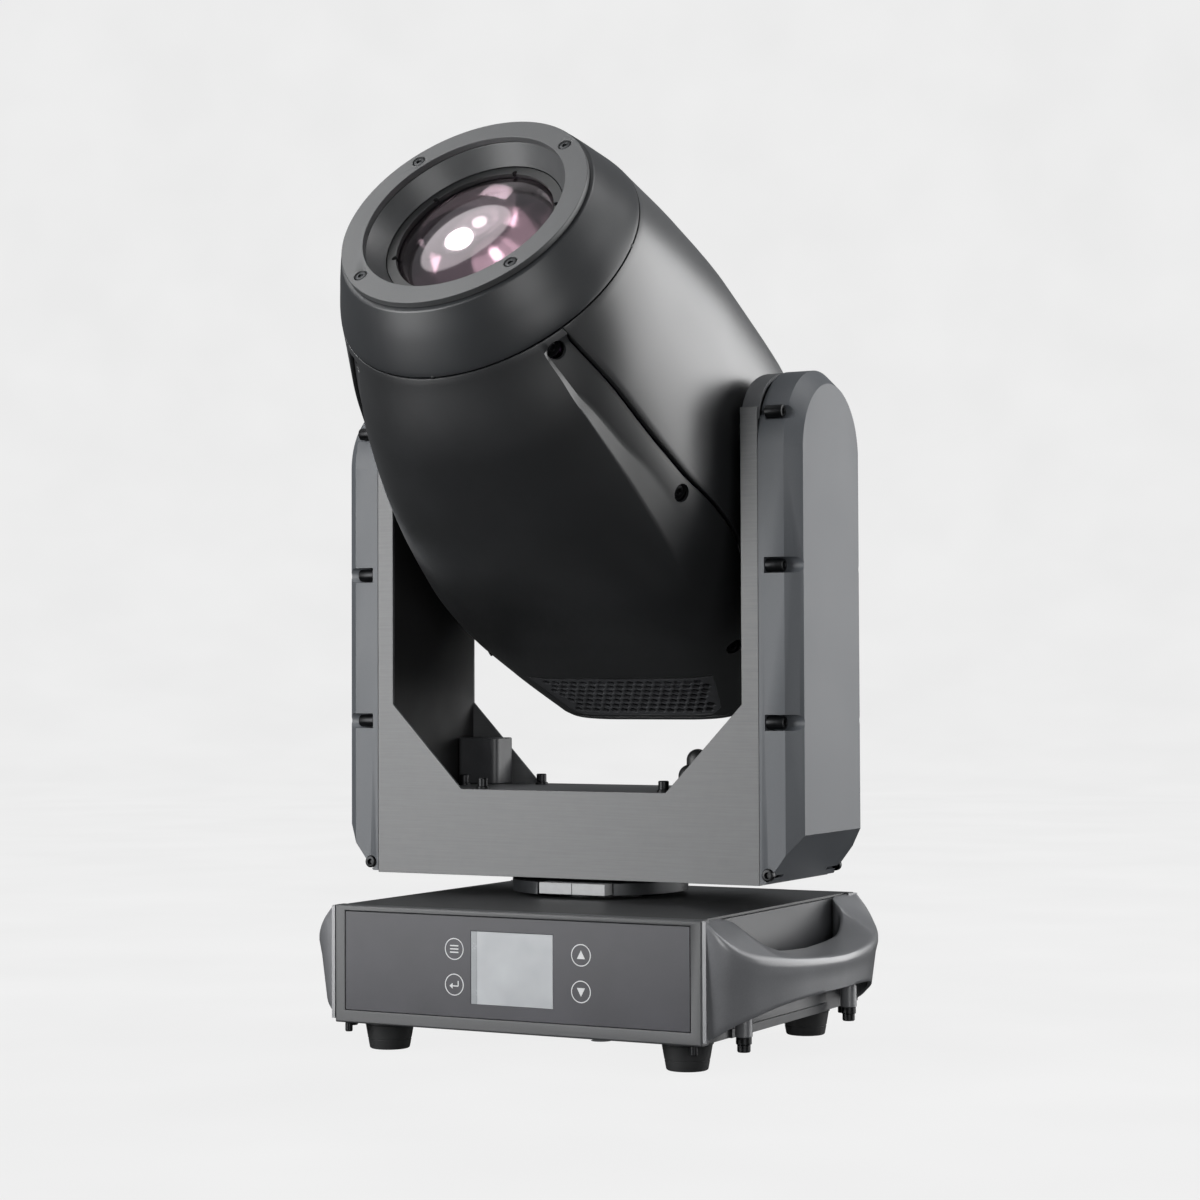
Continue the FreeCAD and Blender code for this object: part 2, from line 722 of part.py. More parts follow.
def headChassis():
    chassis = box(110, 113, -70, 70, -60, 251).fuse(box(-113, -110, -70, 70, -60, 251))
    chassis = chassis.fuse(rod(118, 0, 0, 248, 3)).fuse(box(-112, 112, -70, 70, 80, 83))
    chassis = chassis.fuse(box(-112, 112, -70, 70, -60, -57)).fuse(box(-112, 112, -100, 100, 30, 33))
    chassis = chassis.fuse(rod(86, 0, 0, 250, 50)).removeSplitter()
    chassis = chassis.cut(rod(80.3, 0, 0, 290, 20)).cut(rod(74, 0, 0, 240, 60)).cut(rod(48, 0, 0, 78, 8))
    chassis = chassis.cut(rod(20, 0, 0, 28, 8)).cut(rod(44, 0, 0, -62, 8))
    for side in (-1, 1):
        chassis = chassis.cut(rod(7, 0, side * wheelOffset, 28, 8))
        chassis = chassis.cut(box(side * 105, side * 120, -50, 50, 110, 235))
    return chassis


def trunnion(side):
    shaft = rod(42, side * 113.3, 0, 0, 7, (side, 0, 0))
    if side > 0:
        shaft = shaft.fuse(rod(trunnionRadius, 119, 0, 0, 110, (1, 0, 0)))
        wheel = toothedPulley(tiltPulleyRadius, 101, 10)
        wheel.rotate(Vector(0, 0, 0), Vector(0, 1, 0), 90)
        wheel.translate(Vector(223, 0, 0))
        shaft = shaft.fuse(wheel)
    else:
        shaft = shaft.fuse(rod(trunnionRadius, -119, 0, 0, 96, (-1, 0, 0)))
    return shaft.removeSplitter().cut(rod(12, side * 100, 0, 0, 150, (side, 0, 0)))


def frontCollar(outer, inner):
    collar = outer.common(box(-300, 300, -300, 300, seamHeight + fit, frontHeight - ringThick - fit))
    return collar.cut(inner)


def frontRing():
    ring = tube(ringOuter, ringInner, 0, 0, frontHeight - ringThick, ringThick)
    for x, y in ringScrewPlaces():
        ring = ring.cut(rod(6.2, x, y, frontHeight - 3.5, 10)).cut(rod(3.2, x, y, frontHeight - 10, 20))
    return ring


def ringScrewPlaces():
    places = []
    for turn in range(4):
        angle = math.radians(45 + 90 * turn)
        places.append((ringScrewCircle * math.cos(angle), ringScrewCircle * math.sin(angle)))
    return places


def bezelCone():
    outer = Part.makeCone(coneInner + 2.5, ringInner + 2.5, 19.0, Vector(0, 0, 304.6), Vector(0, 0, 1))
    inner = Part.makeCone(coneInner, ringInner, 19.0, Vector(0, 0, 304.6), Vector(0, 0, 1))
    return outer.cut(inner)


def lensRetainer():
    ring = tube(86, 77, 0, 0, 300.3, 4)
    for turn in range(6):
        angle = math.radians(60 * turn + 20)
        ring = ring.cut(rod(2.6, 78.5 * math.cos(angle), 78.5 * math.sin(angle), 295, 12))
    return ring


def domedLens(radius, sag, low, high, back):
    # lens with a domed front and a flat or domed back
    curve = (radius * radius + sag * sag) / (2 * sag)
    front = Part.makeSphere(curve, Vector(0, 0, high + sag - curve))
    lens = rod(radius, 0, 0, low - back, high - low + sag + back + 1).common(front)
    if back > 0:
        bend = (radius * radius + back * back) / (2 * back)
        lens = lens.common(Part.makeSphere(bend, Vector(0, 0, low - back + bend)))
    return lens


def shellPart(outer, inner, upper):
    shell = outer.common(box(-300, 300, -300, 300, rearHeight, seamHeight)).cut(inner)
    if upper:
        shell = shell.common(partingTool(0.0))
    else:
        shell = shell.cut(partingTool(-fit))
        notch = channelTool()
        shell = shell.cut(notch).cut(mirrorX(notch))
        for h, x, y in shellScrewSpots:
            for turn in (-1, 1):
                direction = Vector(turn * 0.86, -0.5, 0)
                start = Vector(turn * x, y, h) - direction * 9
                shell = shell.cut(Part.makeCylinder(6.1, 24.0, start, direction))
    window = prismY(grilleWindow(0.3), 0, 200 if upper else -200)
    shell = shell.cut(window)
    for side in (-1, 1):
        shell = shell.cut(rod(23.0, side * 120, 0, 0, 100, (side, 0, 0)))
    return shell


def rearCap():
    row = headSections[-1]
    rim = sectionWire(rearHeight - fit, row[1], row[2], row[3], row[4], 0.0)
    mid = sectionWire(rearHeight - 7, row[1], row[2], row[3], row[4], 2.5)
    end = sectionWire(rearHeight - 13, row[1], row[2], row[3], row[4], 12.0)
    cap = Part.makeLoft([end, mid, rim], True, True)
    hollow = sectionWire(rearHeight - 8, row[1], row[2], row[3], row[4], 12.0)
    lip = sectionWire(rearHeight + 1, row[1], row[2], row[3], row[4], 6.0)
    return cap.cut(Part.makeLoft([hollow, lip], True, True))


def headScrews():
    shapes = []
    for x, y in ringScrewPlaces():
        head = rod(5.8, x, y, frontHeight - 3.4, 2.8).fuse(rod(3.0, x, y, frontHeight - 10, 8)).removeSplitter()
        shapes.append(head.cut(rod(2.2, x, y, frontHeight - 2.6, 5)))
    for h, x, y in shellScrewSpots:
        for side in (-1, 1):
            direction = Vector(side * 0.86, -0.5, 0)
            start = Vector(side * x, y, h) - direction * 4
            head = Part.makeCylinder(5.6, 8.0, start, direction)
            shapes.append(head.cut(Part.makeCylinder(2.5, 6.0, start + direction * 4, direction)))
    return group(shapes)


def guideRods():
    return group([rod(rodRadius, x, y, 83.3, 164.4) for x, y in rodPlaces()])


def rodPlaces():
    return [(rodCircle * math.cos(math.radians(a)), rodCircle * math.sin(math.radians(a))) for a in (30, 150, 270)]


def lensCarrier(height, lensHole):
    ring = rod(62, 0, 0, height - 4, 8)
    for x, y in rodPlaces():
        ring = ring.fuse(rod(9, x, y, height - 6, 12))
    ring = ring.removeSplitter().cut(rod(lensHole, 0, 0, height - 10, 30))
    for x, y in rodPlaces():
        ring = ring.cut(rod(rodRadius + runningGap, x, y, height - 10, 30))
    return ring


def filterWheel(side, low):
    wheel = rod(wheelRadius, 0, side * wheelOffset, low, 2).fuse(rod(9, 0, side * wheelOffset, low - 2, 6))
    wheel = wheel.removeSplitter()
    for turn in range(7):
        angle = 2 * math.pi * turn / 7 - side * math.pi / 2
        x = wheelOffset * math.cos(angle)
        y = side * wheelOffset + wheelOffset * math.sin(angle)
        wheel = wheel.cut(rod(windowRadius, x, y, low - 1, 4))
    return wheel.cut(rod(2.5 + runningGap, 0, side * wheelOffset, low - 10, 30))


def wheelMotors():
    lower = box(-21, 21, -wheelOffset - 21, -wheelOffset + 21, -10, 29.7).fuse(rod(2.5, 0, -wheelOffset, 28, 16))
    upper = box(-21, 21, wheelOffset - 21, wheelOffset + 21, 33.3, 73).fuse(rod(2.5, 0, wheelOffset, 18, 16))
    return group([lower.removeSplitter(), upper.removeSplitter()])


def ledEngine():
    engine = box(-45, 45, -43, 43, -56.7, -50).fuse(rod(28, 0, 0, -51, 31))
    engine = engine.fuse(Part.makeCone(28, 14, 33, Vector(0, 0, -20.5), Vector(0, 0, 1)))
    return engine.removeSplitter()


def heatSink():
    sink = box(-84, 84, -80, 80, -76, -60.3)
    fins = [box(x - 1, x + 1, -80, 80, -146, -75) for x in range(-78, 79, 6)]
    return joined([sink] + fins)


def build():
    os.makedirs("parts", exist_ok=True)
    rightHandle = handle()
    rightCover = armCover()
    rightArm = armFrame()
    baseNodes = {
        "base_tray": baseTray(),
        "front_bezel": frontBezel(),
        "rear_panel": rearPanel(),
        "top_cover": topCover(),
        "handle_right": rightHandle,
        "handle_left": mirrorX(rightHandle),
        "base_screws": baseScrews(),
        "rubber_feet": rubberFeet(),
        "control_glass": controlGlass(),
        "display_screen": displayScreen(),
        "power_supply": powerSupply(),
        "control_board": controlBoard(),
        "rear_connectors": rearConnectors(),
        "pan_shaft": panShaft(),
        "pan_lock_block": panLockBlock(),
    }
    yokeNodes = {
        "yoke_front_plate": yokePlate(-1),
        "yoke_back_plate": yokePlate(1),
        "arm_frame_right": rightArm,
        "arm_frame_left": mirrorX(rightArm),
        "crossbeam_floor": crossbeamFloor(),
        "crossbeam_deck": crossbeamDeck(),
        "arm_cover_right": rightCover,
        "arm_cover_left": mirrorX(rightCover),
        "yoke_screws": yokeScrews(),
        "tilt_lock_housing": tiltLockHousing(),
        "vent_glands": ventGlands(),
        "pan_motor": panMotor(),
        "tilt_motor": tiltMotor(),
        "pan_belt": panBelt(),
        "tilt_belt": tiltBelt(),
        "shaft_bearings": shaftBearings(),
        "pan_motor_pulley": panMotorPulley(),
        "tilt_motor_pulley": tiltMotorPulley(),
    }
    outer = headForm(0.0)
    inner = headForm(shellWall)
    headNodes = {
        "head_chassis": headChassis(),
        "trunnion_left": trunnion(-1),
        "trunnion_right": trunnion(1),
        "front_collar": frontCollar(outer, inner),
        "front_ring": frontRing(),
        "bezel_cone": bezelCone(),
        "lens_retainer": lensRetainer(),
        "front_lens": domedLens(lensRadius, lensSag, lensEdgeLow, lensEdgeHigh, 0),
        "upper_shell": shellPart(outer, inner, True),
        "lower_shell": shellPart(outer, inner, False),
        "rear_cap": rearCap(),
        "grille_lower": hexGrille(outer, -1),
        "grille_upper": hexGrille(outer, 1),
        "head_screws": headScrews(),
        "guide_rods": guideRods(),
        "led_engine": ledEngine(),
        "heat_sink": heatSink(),
        "fan_frames": group([fanFrame(x, -1) for x in (-fanX, fanX)]),
        "wheel_motors": wheelMotors(),
        "fan_rotor_left": fanRotor(-fanX, -1),
        "fan_rotor_right": fanRotor(fanX, -1),
        "zoom_carrier": lensCarrier(zoomRest, 44.3),
        "zoom_lens": domedLens(44, 7, zoomRest - 3, zoomRest + 3, 5),
        "focus_carrier": lensCarrier(focusRest, 40.3),
        "focus_lens": domedLens(40, 6, focusRest - 3, focusRest + 3, 5),
        "gobo_wheel": filterWheel(-1, 38),
        "colour_wheel": filterWheel(1, 22),
    }
    for name, shape in list(baseNodes.items()) + list(yokeNodes.items()):
        save(name, shape)
    for name, shape in headNodes.items():
        save(name, placeHead(shape))


build()
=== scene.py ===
import json
import math
import bmesh
import bpy
from mathutils import Matrix, Vector


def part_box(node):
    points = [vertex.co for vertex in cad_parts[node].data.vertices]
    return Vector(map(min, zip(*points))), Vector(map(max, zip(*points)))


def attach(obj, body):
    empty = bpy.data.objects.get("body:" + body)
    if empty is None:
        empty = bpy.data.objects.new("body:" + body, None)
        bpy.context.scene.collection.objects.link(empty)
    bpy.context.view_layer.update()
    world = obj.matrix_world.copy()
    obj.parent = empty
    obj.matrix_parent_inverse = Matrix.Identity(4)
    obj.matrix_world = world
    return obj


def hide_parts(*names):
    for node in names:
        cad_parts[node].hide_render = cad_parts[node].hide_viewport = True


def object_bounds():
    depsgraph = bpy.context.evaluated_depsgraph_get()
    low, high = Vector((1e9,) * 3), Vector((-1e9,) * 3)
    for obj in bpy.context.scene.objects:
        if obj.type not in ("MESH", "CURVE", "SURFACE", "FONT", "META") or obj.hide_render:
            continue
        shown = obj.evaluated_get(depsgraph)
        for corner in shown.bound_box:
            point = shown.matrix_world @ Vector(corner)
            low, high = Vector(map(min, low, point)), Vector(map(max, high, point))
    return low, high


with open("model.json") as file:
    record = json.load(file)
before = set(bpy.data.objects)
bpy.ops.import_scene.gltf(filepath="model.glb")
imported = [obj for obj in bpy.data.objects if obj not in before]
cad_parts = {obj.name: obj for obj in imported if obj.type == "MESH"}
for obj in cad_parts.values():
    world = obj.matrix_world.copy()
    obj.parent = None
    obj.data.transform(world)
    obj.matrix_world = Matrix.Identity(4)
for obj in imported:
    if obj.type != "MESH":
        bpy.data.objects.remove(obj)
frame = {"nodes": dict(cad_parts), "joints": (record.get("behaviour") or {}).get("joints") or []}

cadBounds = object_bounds()
nodes = frame["nodes"]
mm = 0.001
print("frame loaded:", len(nodes), "nodes")

jointByName = {j["name"]: j for j in frame["joints"]}
tiltCentre = Vector(jointByName["tilt"]["pos_m"])
beamAxis = Vector(jointByName["zoom_slide"]["axis"]).normalized()
overAxis = beamAxis.cross(Vector((1, 0, 0)))
# head space: x along the tilt axis, y towards the upper shell, z out of the lens, all in mm
headSpace = Matrix((
    (1, overAxis.x, beamAxis.x, tiltCentre.x / mm),
    (0, overAxis.y, beamAxis.y, tiltCentre.y / mm),
    (0, overAxis.z, beamAxis.z, tiltCentre.z / mm),
    (0, 0, 0, 1)))


# ---- materials

def toLinear(hexColour):
    parts = [int(hexColour[i:i + 2], 16) / 255 for i in (1, 3, 5)]
    return tuple(c / 12.92 if c <= 0.04045 else ((c + 0.055) / 1.055) ** 2.4 for c in parts) + (1.0,)


def addNode(tree, kind, settings=None, values=None, links=None, stops=()):
    # stops are the places and colours of a colour ramp
    node = tree.nodes.new(kind)
    for key, value in (settings or {}).items():
        setattr(node, key, value)
    for key, value in (values or {}).items():
        node.inputs[key].default_value = value
    for key, source in (links or {}).items():
        tree.links.new(source, node.inputs[key])
    for index, (place, colour) in enumerate(stops):
        stop = node.color_ramp.elements[index]
        stop.position, stop.color = place, toLinear(colour)
    return node


def newMaterial(name):
    material = bpy.data.materials.new(name)
    material.use_nodes = True
    tree = material.node_tree
    tree.nodes.clear()
    output = addNode(tree, "ShaderNodeOutputMaterial")
    return material, tree, output


grainLook = dict(mottleShare=0.6, bumpMm=0.05, plasticIor=1.5, rampLow=0.3, rampHigh=0.7)


def texturedFinish(name, look):
    # one finish from a colour range, a fine grain that bumps and a slow mottle that shifts roughness
    material, tree, output = newMaterial(name)
    share, low, high = (grainLook[key] for key in ("mottleShare", "rampLow", "rampHigh"))
    coords = addNode(tree, "ShaderNodeTexCoord").outputs["Object"]
    stretch = addNode(tree, "ShaderNodeMapping", links={"Vector": coords},
            values={"Scale": look.get("stretch", (1, 1, 1))})
    grain = addNode(tree, "ShaderNodeTexNoise", links={"Vector": stretch.outputs["Vector"]},
            values={"Scale": 1 / (look["grainMm"] * mm), "Detail": 3.0, "Roughness": 0.6})
    mottle = addNode(tree, "ShaderNodeTexNoise", links={"Vector": coords},
            values={"Scale": 1 / (look["mottleMm"] * mm), "Detail": 4.0, "Roughness": 0.55})
    mixed = addNode(tree, "ShaderNodeMath", {"operation": "MULTIPLY_ADD"}, {1: share},
                    {0: mottle.outputs["Fac"]})
    scaled = addNode(tree, "ShaderNodeMath", {"operation": "MULTIPLY"}, {1: 1 - share},
                     {0: grain.outputs["Fac"]})
    tree.links.new(scaled.outputs[0], mixed.inputs[2])
    colours = addNode(tree, "ShaderNodeValToRGB", links={"Fac": mixed.outputs[0]},
            stops=((low, look["dark"]), (high, look["light"])))
    rough = addNode(tree, "ShaderNodeMapRange", links={"Value": mixed.outputs[0]},
            values={"From Min": low, "From Max": high,
                    "To Min": look["rough"][0], "To Max": look["rough"][1]})
    bump = addNode(tree, "ShaderNodeBump", links={"Height": grain.outputs["Fac"]},
            values={"Strength": look["bump"], "Distance": grainLook["bumpMm"] * mm})
    shader = addNode(tree, "ShaderNodeBsdfPrincipled", links={
        "Base Color": colours.outputs["Color"], "Roughness": rough.outputs["Result"],
        "Normal": bump.outputs["Normal"]})
    shader.inputs["Metallic"].default_value = look.get("metallic", 0.0)
    if not look.get("metallic"):
        shader.inputs["IOR"].default_value = grainLook["plasticIor"]
    if "coat" in look:
        shader.inputs["Coat Weight"].default_value = look["coat"][0]
        shader.inputs["Coat Roughness"].default_value = look["coat"][1]
    tree.links.new(shader.outputs["BSDF"], output.inputs["Surface"])
    return material


# grainMm is drawn coarser than the real grain of 0.3 to 0.5 mm, so that it shows; stretch draws it out
finishes = {
    # satin polyester powder coat over brushed steel sheet: even grey with faint streaks along the sheet
    "satinPowderCoatSheet": dict(dark="#454647", light="#5d5e5f", rough=(0.36, 0.46),
        grainMm=1.4, stretch=(0.03, 1, 1), bump=0.1, mottleMm=60),
    # same coat on the base castings: a little darker and smoother
    "satinPowderCoatCasting": dict(dark="#3b3c3e", light="#474849", rough=(0.4, 0.48),
        grainMm=1.0, bump=0.12, mottleMm=50),
    # near-black coat of the base's top cover
    "darkPowderCoat": dict(dark="#262728", light="#303132", rough=(0.42, 0.52),
        grainMm=1.0, bump=0.12, mottleMm=50),
    # satin ABS moulding with a blue-grey tint, as on the arm covers
    "satinAbsBlueGrey": dict(dark="#484b4f", light="#515458", rough=(0.46, 0.54),
        grainMm=0.9, bump=0.1, mottleMm=70),
    # satin polycarbonate blend of the head shells: near black with a broad soft sheen
    "satinShellMoulding": dict(dark="#1f2021", light="#28292b", rough=(0.36, 0.44),
        grainMm=0.8, bump=0.1, mottleMm=80, coat=(1.0, 0.34)),
    # same moulding in the front collar, with less sheen
    "satinCollarMoulding": dict(dark="#242527", light="#2d2f31", rough=(0.36, 0.44),
        grainMm=0.8, bump=0.1, mottleMm=80, coat=(0.15, 0.36)),
    # turned and painted aluminium of the flat front ring: even mid grey
    "satinRingPaint": dict(dark="#434445", light="#4e4f50", rough=(0.4, 0.5),
        grainMm=0.8, bump=0.1, mottleMm=40),
    # same paint inside the cone, drawn darker as painted shade in the recess, and a little smoother where the
    # light rakes along it
    "satinConePaint": dict(dark="#3f4041", light="#4b4c4d", rough=(0.35, 0.45),
        grainMm=0.8, bump=0.08, mottleMm=40),
    # black oxide on machined screws: near-black metal, dull but for a glint on rims and sockets
    "blackOxideScrew": dict(dark="#111213", light="#1e1f21", rough=(0.28, 0.4),
        grainMm=0.6, bump=0.1, metallic=0.6, mottleMm=6),
    # moulded EPDM rubber: flat black, no sheen
    "mouldedRubber": dict(dark="#131415", light="#1c1d1e", rough=(0.6, 0.75),
        grainMm=0.7, bump=0.25, mottleMm=20),
    # black glass-filled nylon: faint flow grain and a weak sheen
    "blackNylon": dict(dark="#141516", light="#1d1e1f", rough=(0.42, 0.55),
        grainMm=0.6, bump=0.15, mottleMm=25),
    # bare machined aluminium with fine turning marks
    "machinedAluminium": dict(dark="#9a9b9d", light="#b6b7b9", rough=(0.25, 0.38),
        grainMm=0.7, stretch=(1, 1, 0.1), bump=0.1, metallic=1.0, mottleMm=15),
    # black anodised aluminium: dark metal with a soft grey sheen
    "darkAnodisedAluminium": dict(dark="#232426", light="#2e3032", rough=(0.35, 0.45),
        grainMm=0.7, bump=0.1, metallic=0.5, mottleMm=15),
    # powder-coated steel punched with hexagons: grey bars around dark holes
    "punchedSteelMesh": dict(dark="#4a4b4d", light="#5a5b5e", rough=(0.36, 0.46),
        grainMm=0.6, bump=0.15, metallic=0.2, mottleMm=10),
    # the sheet's coat on folded frames, where no brushing shows: plain even grey
    "satinPowderCoatFrame": dict(dark="#4b4c4e", light="#58595b", rough=(0.38, 0.48),
        grainMm=1.1, bump=0.1, mottleMm=60),
    # the casting's coat on the tray under it, drawn darker as painted shade, and flatter
    "satinTrayCoat": dict(dark="#38393b", light="#434446", rough=(0.4, 0.5),
        grainMm=1.0, bump=0.12, mottleMm=50),
    # die-cast handle: the coat over a slightly orange-peeled casting, catches one broad highlight
    "satinHandleCasting": dict(dark="#626365", light="#6f7073", rough=(0.32, 0.4),
        grainMm=1.6, bump=0.1, mottleMm=60, coat=(0.6, 0.24)),
    # fan blades: lighter glass-filled nylon, so they read behind the mesh
    "greyFanNylon": dict(dark="#7c7e85", light="#92949c", rough=(0.35, 0.45),
        grainMm=0.6, bump=0.1, mottleMm=20),
    # near-black painted shade on the inner faces of the arms, beside the head
    "innerArmPaintedShade": dict(dark="#0c0c0d", light="#131314", rough=(0.6, 0.75),
        grainMm=0.8, bump=0.15, mottleMm=40),
    # dark grey nylon of the lock housing: soft edges, weak sheen
    "satinGreyNylon": dict(dark="#37383a", light="#444547", rough=(0.38, 0.48),
        grainMm=0.6, bump=0.12, mottleMm=25),
    # motor stack: black varnish over pressed laminations, so fine lines across the body
    "laminatedMotorBlack": dict(dark="#141516", light="#202123", rough=(0.35, 0.5),
        grainMm=1.0, stretch=(1, 1, 0.1), bump=0.3, mottleMm=20),
    # screen-printed key marks in pale grey ink
    "printedKeyWhite": dict(dark="#b9babb", light="#c9cacb", rough=(0.5, 0.6),
        grainMm=0.5, bump=0.05, mottleMm=10),
    # darker strip at the edge of the display film, as smooth as the film
    "greyDisplayEdge": dict(dark="#6f7376", light="#7a7e81", rough=(0.2, 0.3),
        grainMm=2.0, bump=0.02, mottleMm=20),
    # cast grey lock block, its face drawn pale as a painted reflection
    "paleCastBlock": dict(dark="#8b8c8d", light="#9d9e9f", rough=(0.4, 0.5),
        grainMm=0.7, bump=0.1, mottleMm=12),
    # glass-fibre circuit board under green solder mask: deep green with a weak gloss
    "solderMaskBoard": dict(dark="#0d3a1e", light="#155029", rough=(0.35, 0.5),
        grainMm=1.5, bump=0.2, mottleMm=6),
    # zinc-plated pressed steel: pale metal with cloudy patches
    "pressedSteelCase": dict(dark="#8a8b8c", light="#9d9e9f", rough=(0.35, 0.5),
        grainMm=1.5, bump=0.1, metallic=1.0, mottleMm=12),
}
materials = {name: texturedFinish(name, look) for name, look in finishes.items()}


def glossyPanelMaterial():
    # tinted polycarbonate touch panel: deep gloss over a dark print, so it mirrors the room softly
    material, tree, output = newMaterial("tintedPanelGlass")
    coords = addNode(tree, "ShaderNodeTexCoord").outputs["Object"]
    haze = addNode(tree, "ShaderNodeTexNoise", values={"Scale": 1 / (60 * mm), "Detail": 3.0},
            links={"Vector": coords})
    colours = addNode(tree, "ShaderNodeValToRGB", links={"Fac": haze.outputs["Fac"]},
            stops=((0.3, "#343438"), (0.7, "#3b3b40")))
    rough = addNode(tree, "ShaderNodeMapRange", values={"To Min": 0.2, "To Max": 0.28},
            links={"Value": haze.outputs["Fac"]})
    shader = addNode(tree, "ShaderNodeBsdfPrincipled", values={"IOR": 1.5, "Specular IOR Level": 0.22},
            links={"Base Color": colours.outputs["Color"], "Roughness": rough.outputs["Result"]})
    tree.links.new(shader.outputs["BSDF"], output.inputs["Surface"])
    return material


def screenMaterial():
    # display film at rest: pale grey with faint cloudy patches and a faint painted glow
    material, tree, output = newMaterial("greyDisplayFilm")
    coords = addNode(tree, "ShaderNodeTexCoord").outputs["Object"]
    haze = addNode(tree, "ShaderNodeTexNoise", values={"Scale": 1 / (40 * mm), "Detail": 2.0},
            links={"Vector": coords})
    colours = addNode(tree, "ShaderNodeValToRGB", links={"Fac": haze.outputs["Fac"]},
            stops=((0.3, "#898c8f"), (0.7, "#95989b")))
    # the small emission is a painted glow on the film
    shader = addNode(tree, "ShaderNodeBsdfPrincipled",
            values={"Roughness": 0.25, "IOR": 1.5, "Emission Strength": 0.04},
            links={"Base Color": colours.outputs["Color"], "Emission Color": colours.outputs["Color"]})
    tree.links.new(shader.outputs["BSDF"], output.inputs["Surface"])
    return material


def coatedLensMaterial(name, tint, film):
    # optical glass with a magenta anti-reflection coating: clear straight on, pink and mauve where it mirrors
    material, tree, output = newMaterial(name)
    coords = addNode(tree, "ShaderNodeTexCoord").outputs["Object"]
    haze = addNode(tree, "ShaderNodeTexNoise", values={"Scale": 1 / (30 * mm), "Detail": 2.0},
            links={"Vector": coords})
    rough = addNode(tree, "ShaderNodeMapRange", values={"To Min": 0.06, "To Max": 0.1},
            links={"Value": haze.outputs["Fac"]}).outputs["Result"]
    glass = addNode(tree, "ShaderNodeBsdfPrincipled", links={"Roughness": rough}, values={
        "Base Color": toLinear(tint), "IOR": 1.52, "Transmission Weight": 1.0,
        "Coat Weight": 0.5, "Coat Tint": toLinear("#efdfe6"), "Coat Roughness": 0.02})
    mirror = addNode(tree, "ShaderNodeBsdfPrincipled", links={"Roughness": rough},
            values={"Base Color": toLinear(film), "Metallic": 1.0})
    edge = addNode(tree, "ShaderNodeLayerWeight", values={"Blend": 0.35})
    share = addNode(tree, "ShaderNodeMapRange", values={"To Min": 0.16, "To Max": 0.6},
            links={"Value": edge.outputs["Fresnel"]})
    mix = addNode(tree, "ShaderNodeMixShader", links={
        0: share.outputs["Result"], 1: glass.outputs["BSDF"], 2: mirror.outputs["BSDF"]})
    tree.links.new(mix.outputs["Shader"], output.inputs["Surface"])
    return material


materials["tintedPanelGlass"] = glossyPanelMaterial()
materials["greyDisplayFilm"] = screenMaterial()
materials["coatedFrontLens"] = coatedLensMaterial("coatedFrontLens", "#f1edef", "#ded3d8")
materials["coatedInnerLens"] = coatedLensMaterial("coatedInnerLens", "#e6e9f2", "#b9a9d9")
print("materials ready:", len(materials))


# ---- shape helpers

def newPiece(name, build, body, replaced, finish, space=None, smoothAngle=30):
    # bmesh in mm, in the given space, to a piece in metres that rides on a body
    if space is not None:
        bmesh.ops.transform(build, matrix=space, verts=build.verts)
    bmesh.ops.scale(build, vec=(mm, mm, mm), verts=build.verts)
    mesh = bpy.data.meshes.new(name)
    build.to_mesh(mesh)
    build.free()
    for face in mesh.polygons:
        face.use_smooth = True
    mesh.set_sharp_from_angle(angle=math.radians(smoothAngle))
    for one in [finish] if isinstance(finish, str) else finish:
        mesh.materials.append(materials[one])
    piece = bpy.data.objects.new(name, mesh)
    bpy.context.scene.collection.objects.link(piece)
    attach(piece, body)
    if replaced:
        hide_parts(*replaced)
    return piece


edgeLook = dict(segments=2, angle=32, smoothAngle=35)


def addBevel(piece, width):
    bevel = piece.modifiers.new("edgeBreak", "BEVEL")
    bevel.width = width * mm
    bevel.segments = edgeLook["segments"]
    bevel.limit_method = "ANGLE"
    bevel.angle_limit = math.radians(edgeLook["angle"])
    bevel.harden_normals = True
    bevel.use_clamp_overlap = True


def addWall(piece, thickness):
    wall = piece.modifiers.new("wall", "SOLIDIFY")
    wall.thickness = thickness * mm
    wall.offset = -1


def edgedCopy(node, body, finish, width):
    # the sheet or moulding again with its flat faces merged and its edges rounded
    mesh = nodes[node].data.copy()
    build = bmesh.new()
    build.from_mesh(mesh)
    bmesh.ops.remove_doubles(build, verts=build.verts, dist=1e-6)
    bmesh.ops.dissolve_limit(build, angle_limit=math.radians(1.0), verts=build.verts, edges=build.edges)
    bmesh.ops.scale(build, vec=(1 / mm, 1 / mm, 1 / mm), verts=build.verts)
    name = node.replace("_", " ").title().replace(" ", "") + "Edged"
    piece = newPiece(name, build, body, (node,), finish, smoothAngle=edgeLook["smoothAngle"])
    addBevel(piece, width)
    return piece


def addGrid(build, rows, closed=False, material=0, skip=None):
    # quads through rows of points; skip(row, column) leaves a face out
    grid = [[build.verts.new(point) for point in row] for row in rows]
    for i in range(len(grid) - 1):
        count = len(grid[i])
        for j in range(count if closed else count - 1):
            if skip and skip(i, j):
                continue
            k = (j + 1) % count
            face = build.faces.new((grid[i][j], grid[i][k], grid[i + 1][k], grid[i + 1][j]))
            face.material_index = material
    return grid


def addTurned(build, profile, place=(0, 0, 0), axis=(0, 0, 1), segments=48, material=0, capEnd=True):
    # profile rows are radius, height and whether the row follows a hexagon
    turn = Vector((0, 0, 1)).rotation_difference(Vector(axis).normalized()).to_matrix()
    rows = []
    for row in profile:
        radius, height = row[0], row[1]
        points = []
        for i in range(segments):
            angle = 2 * math.pi * i / segments
            hexagon = math.cos((angle % (math.pi / 3)) - math.pi / 6)
            reach = radius / hexagon if len(row) > 2 and row[2] else radius
            point = Vector((reach * math.cos(angle), reach * math.sin(angle), height))
            points.append(Vector(place) + turn @ point)
        rows.append(points)
    grid = addGrid(build, rows, True, material)
    if capEnd:
        build.faces.new(grid[-1]).material_index = material


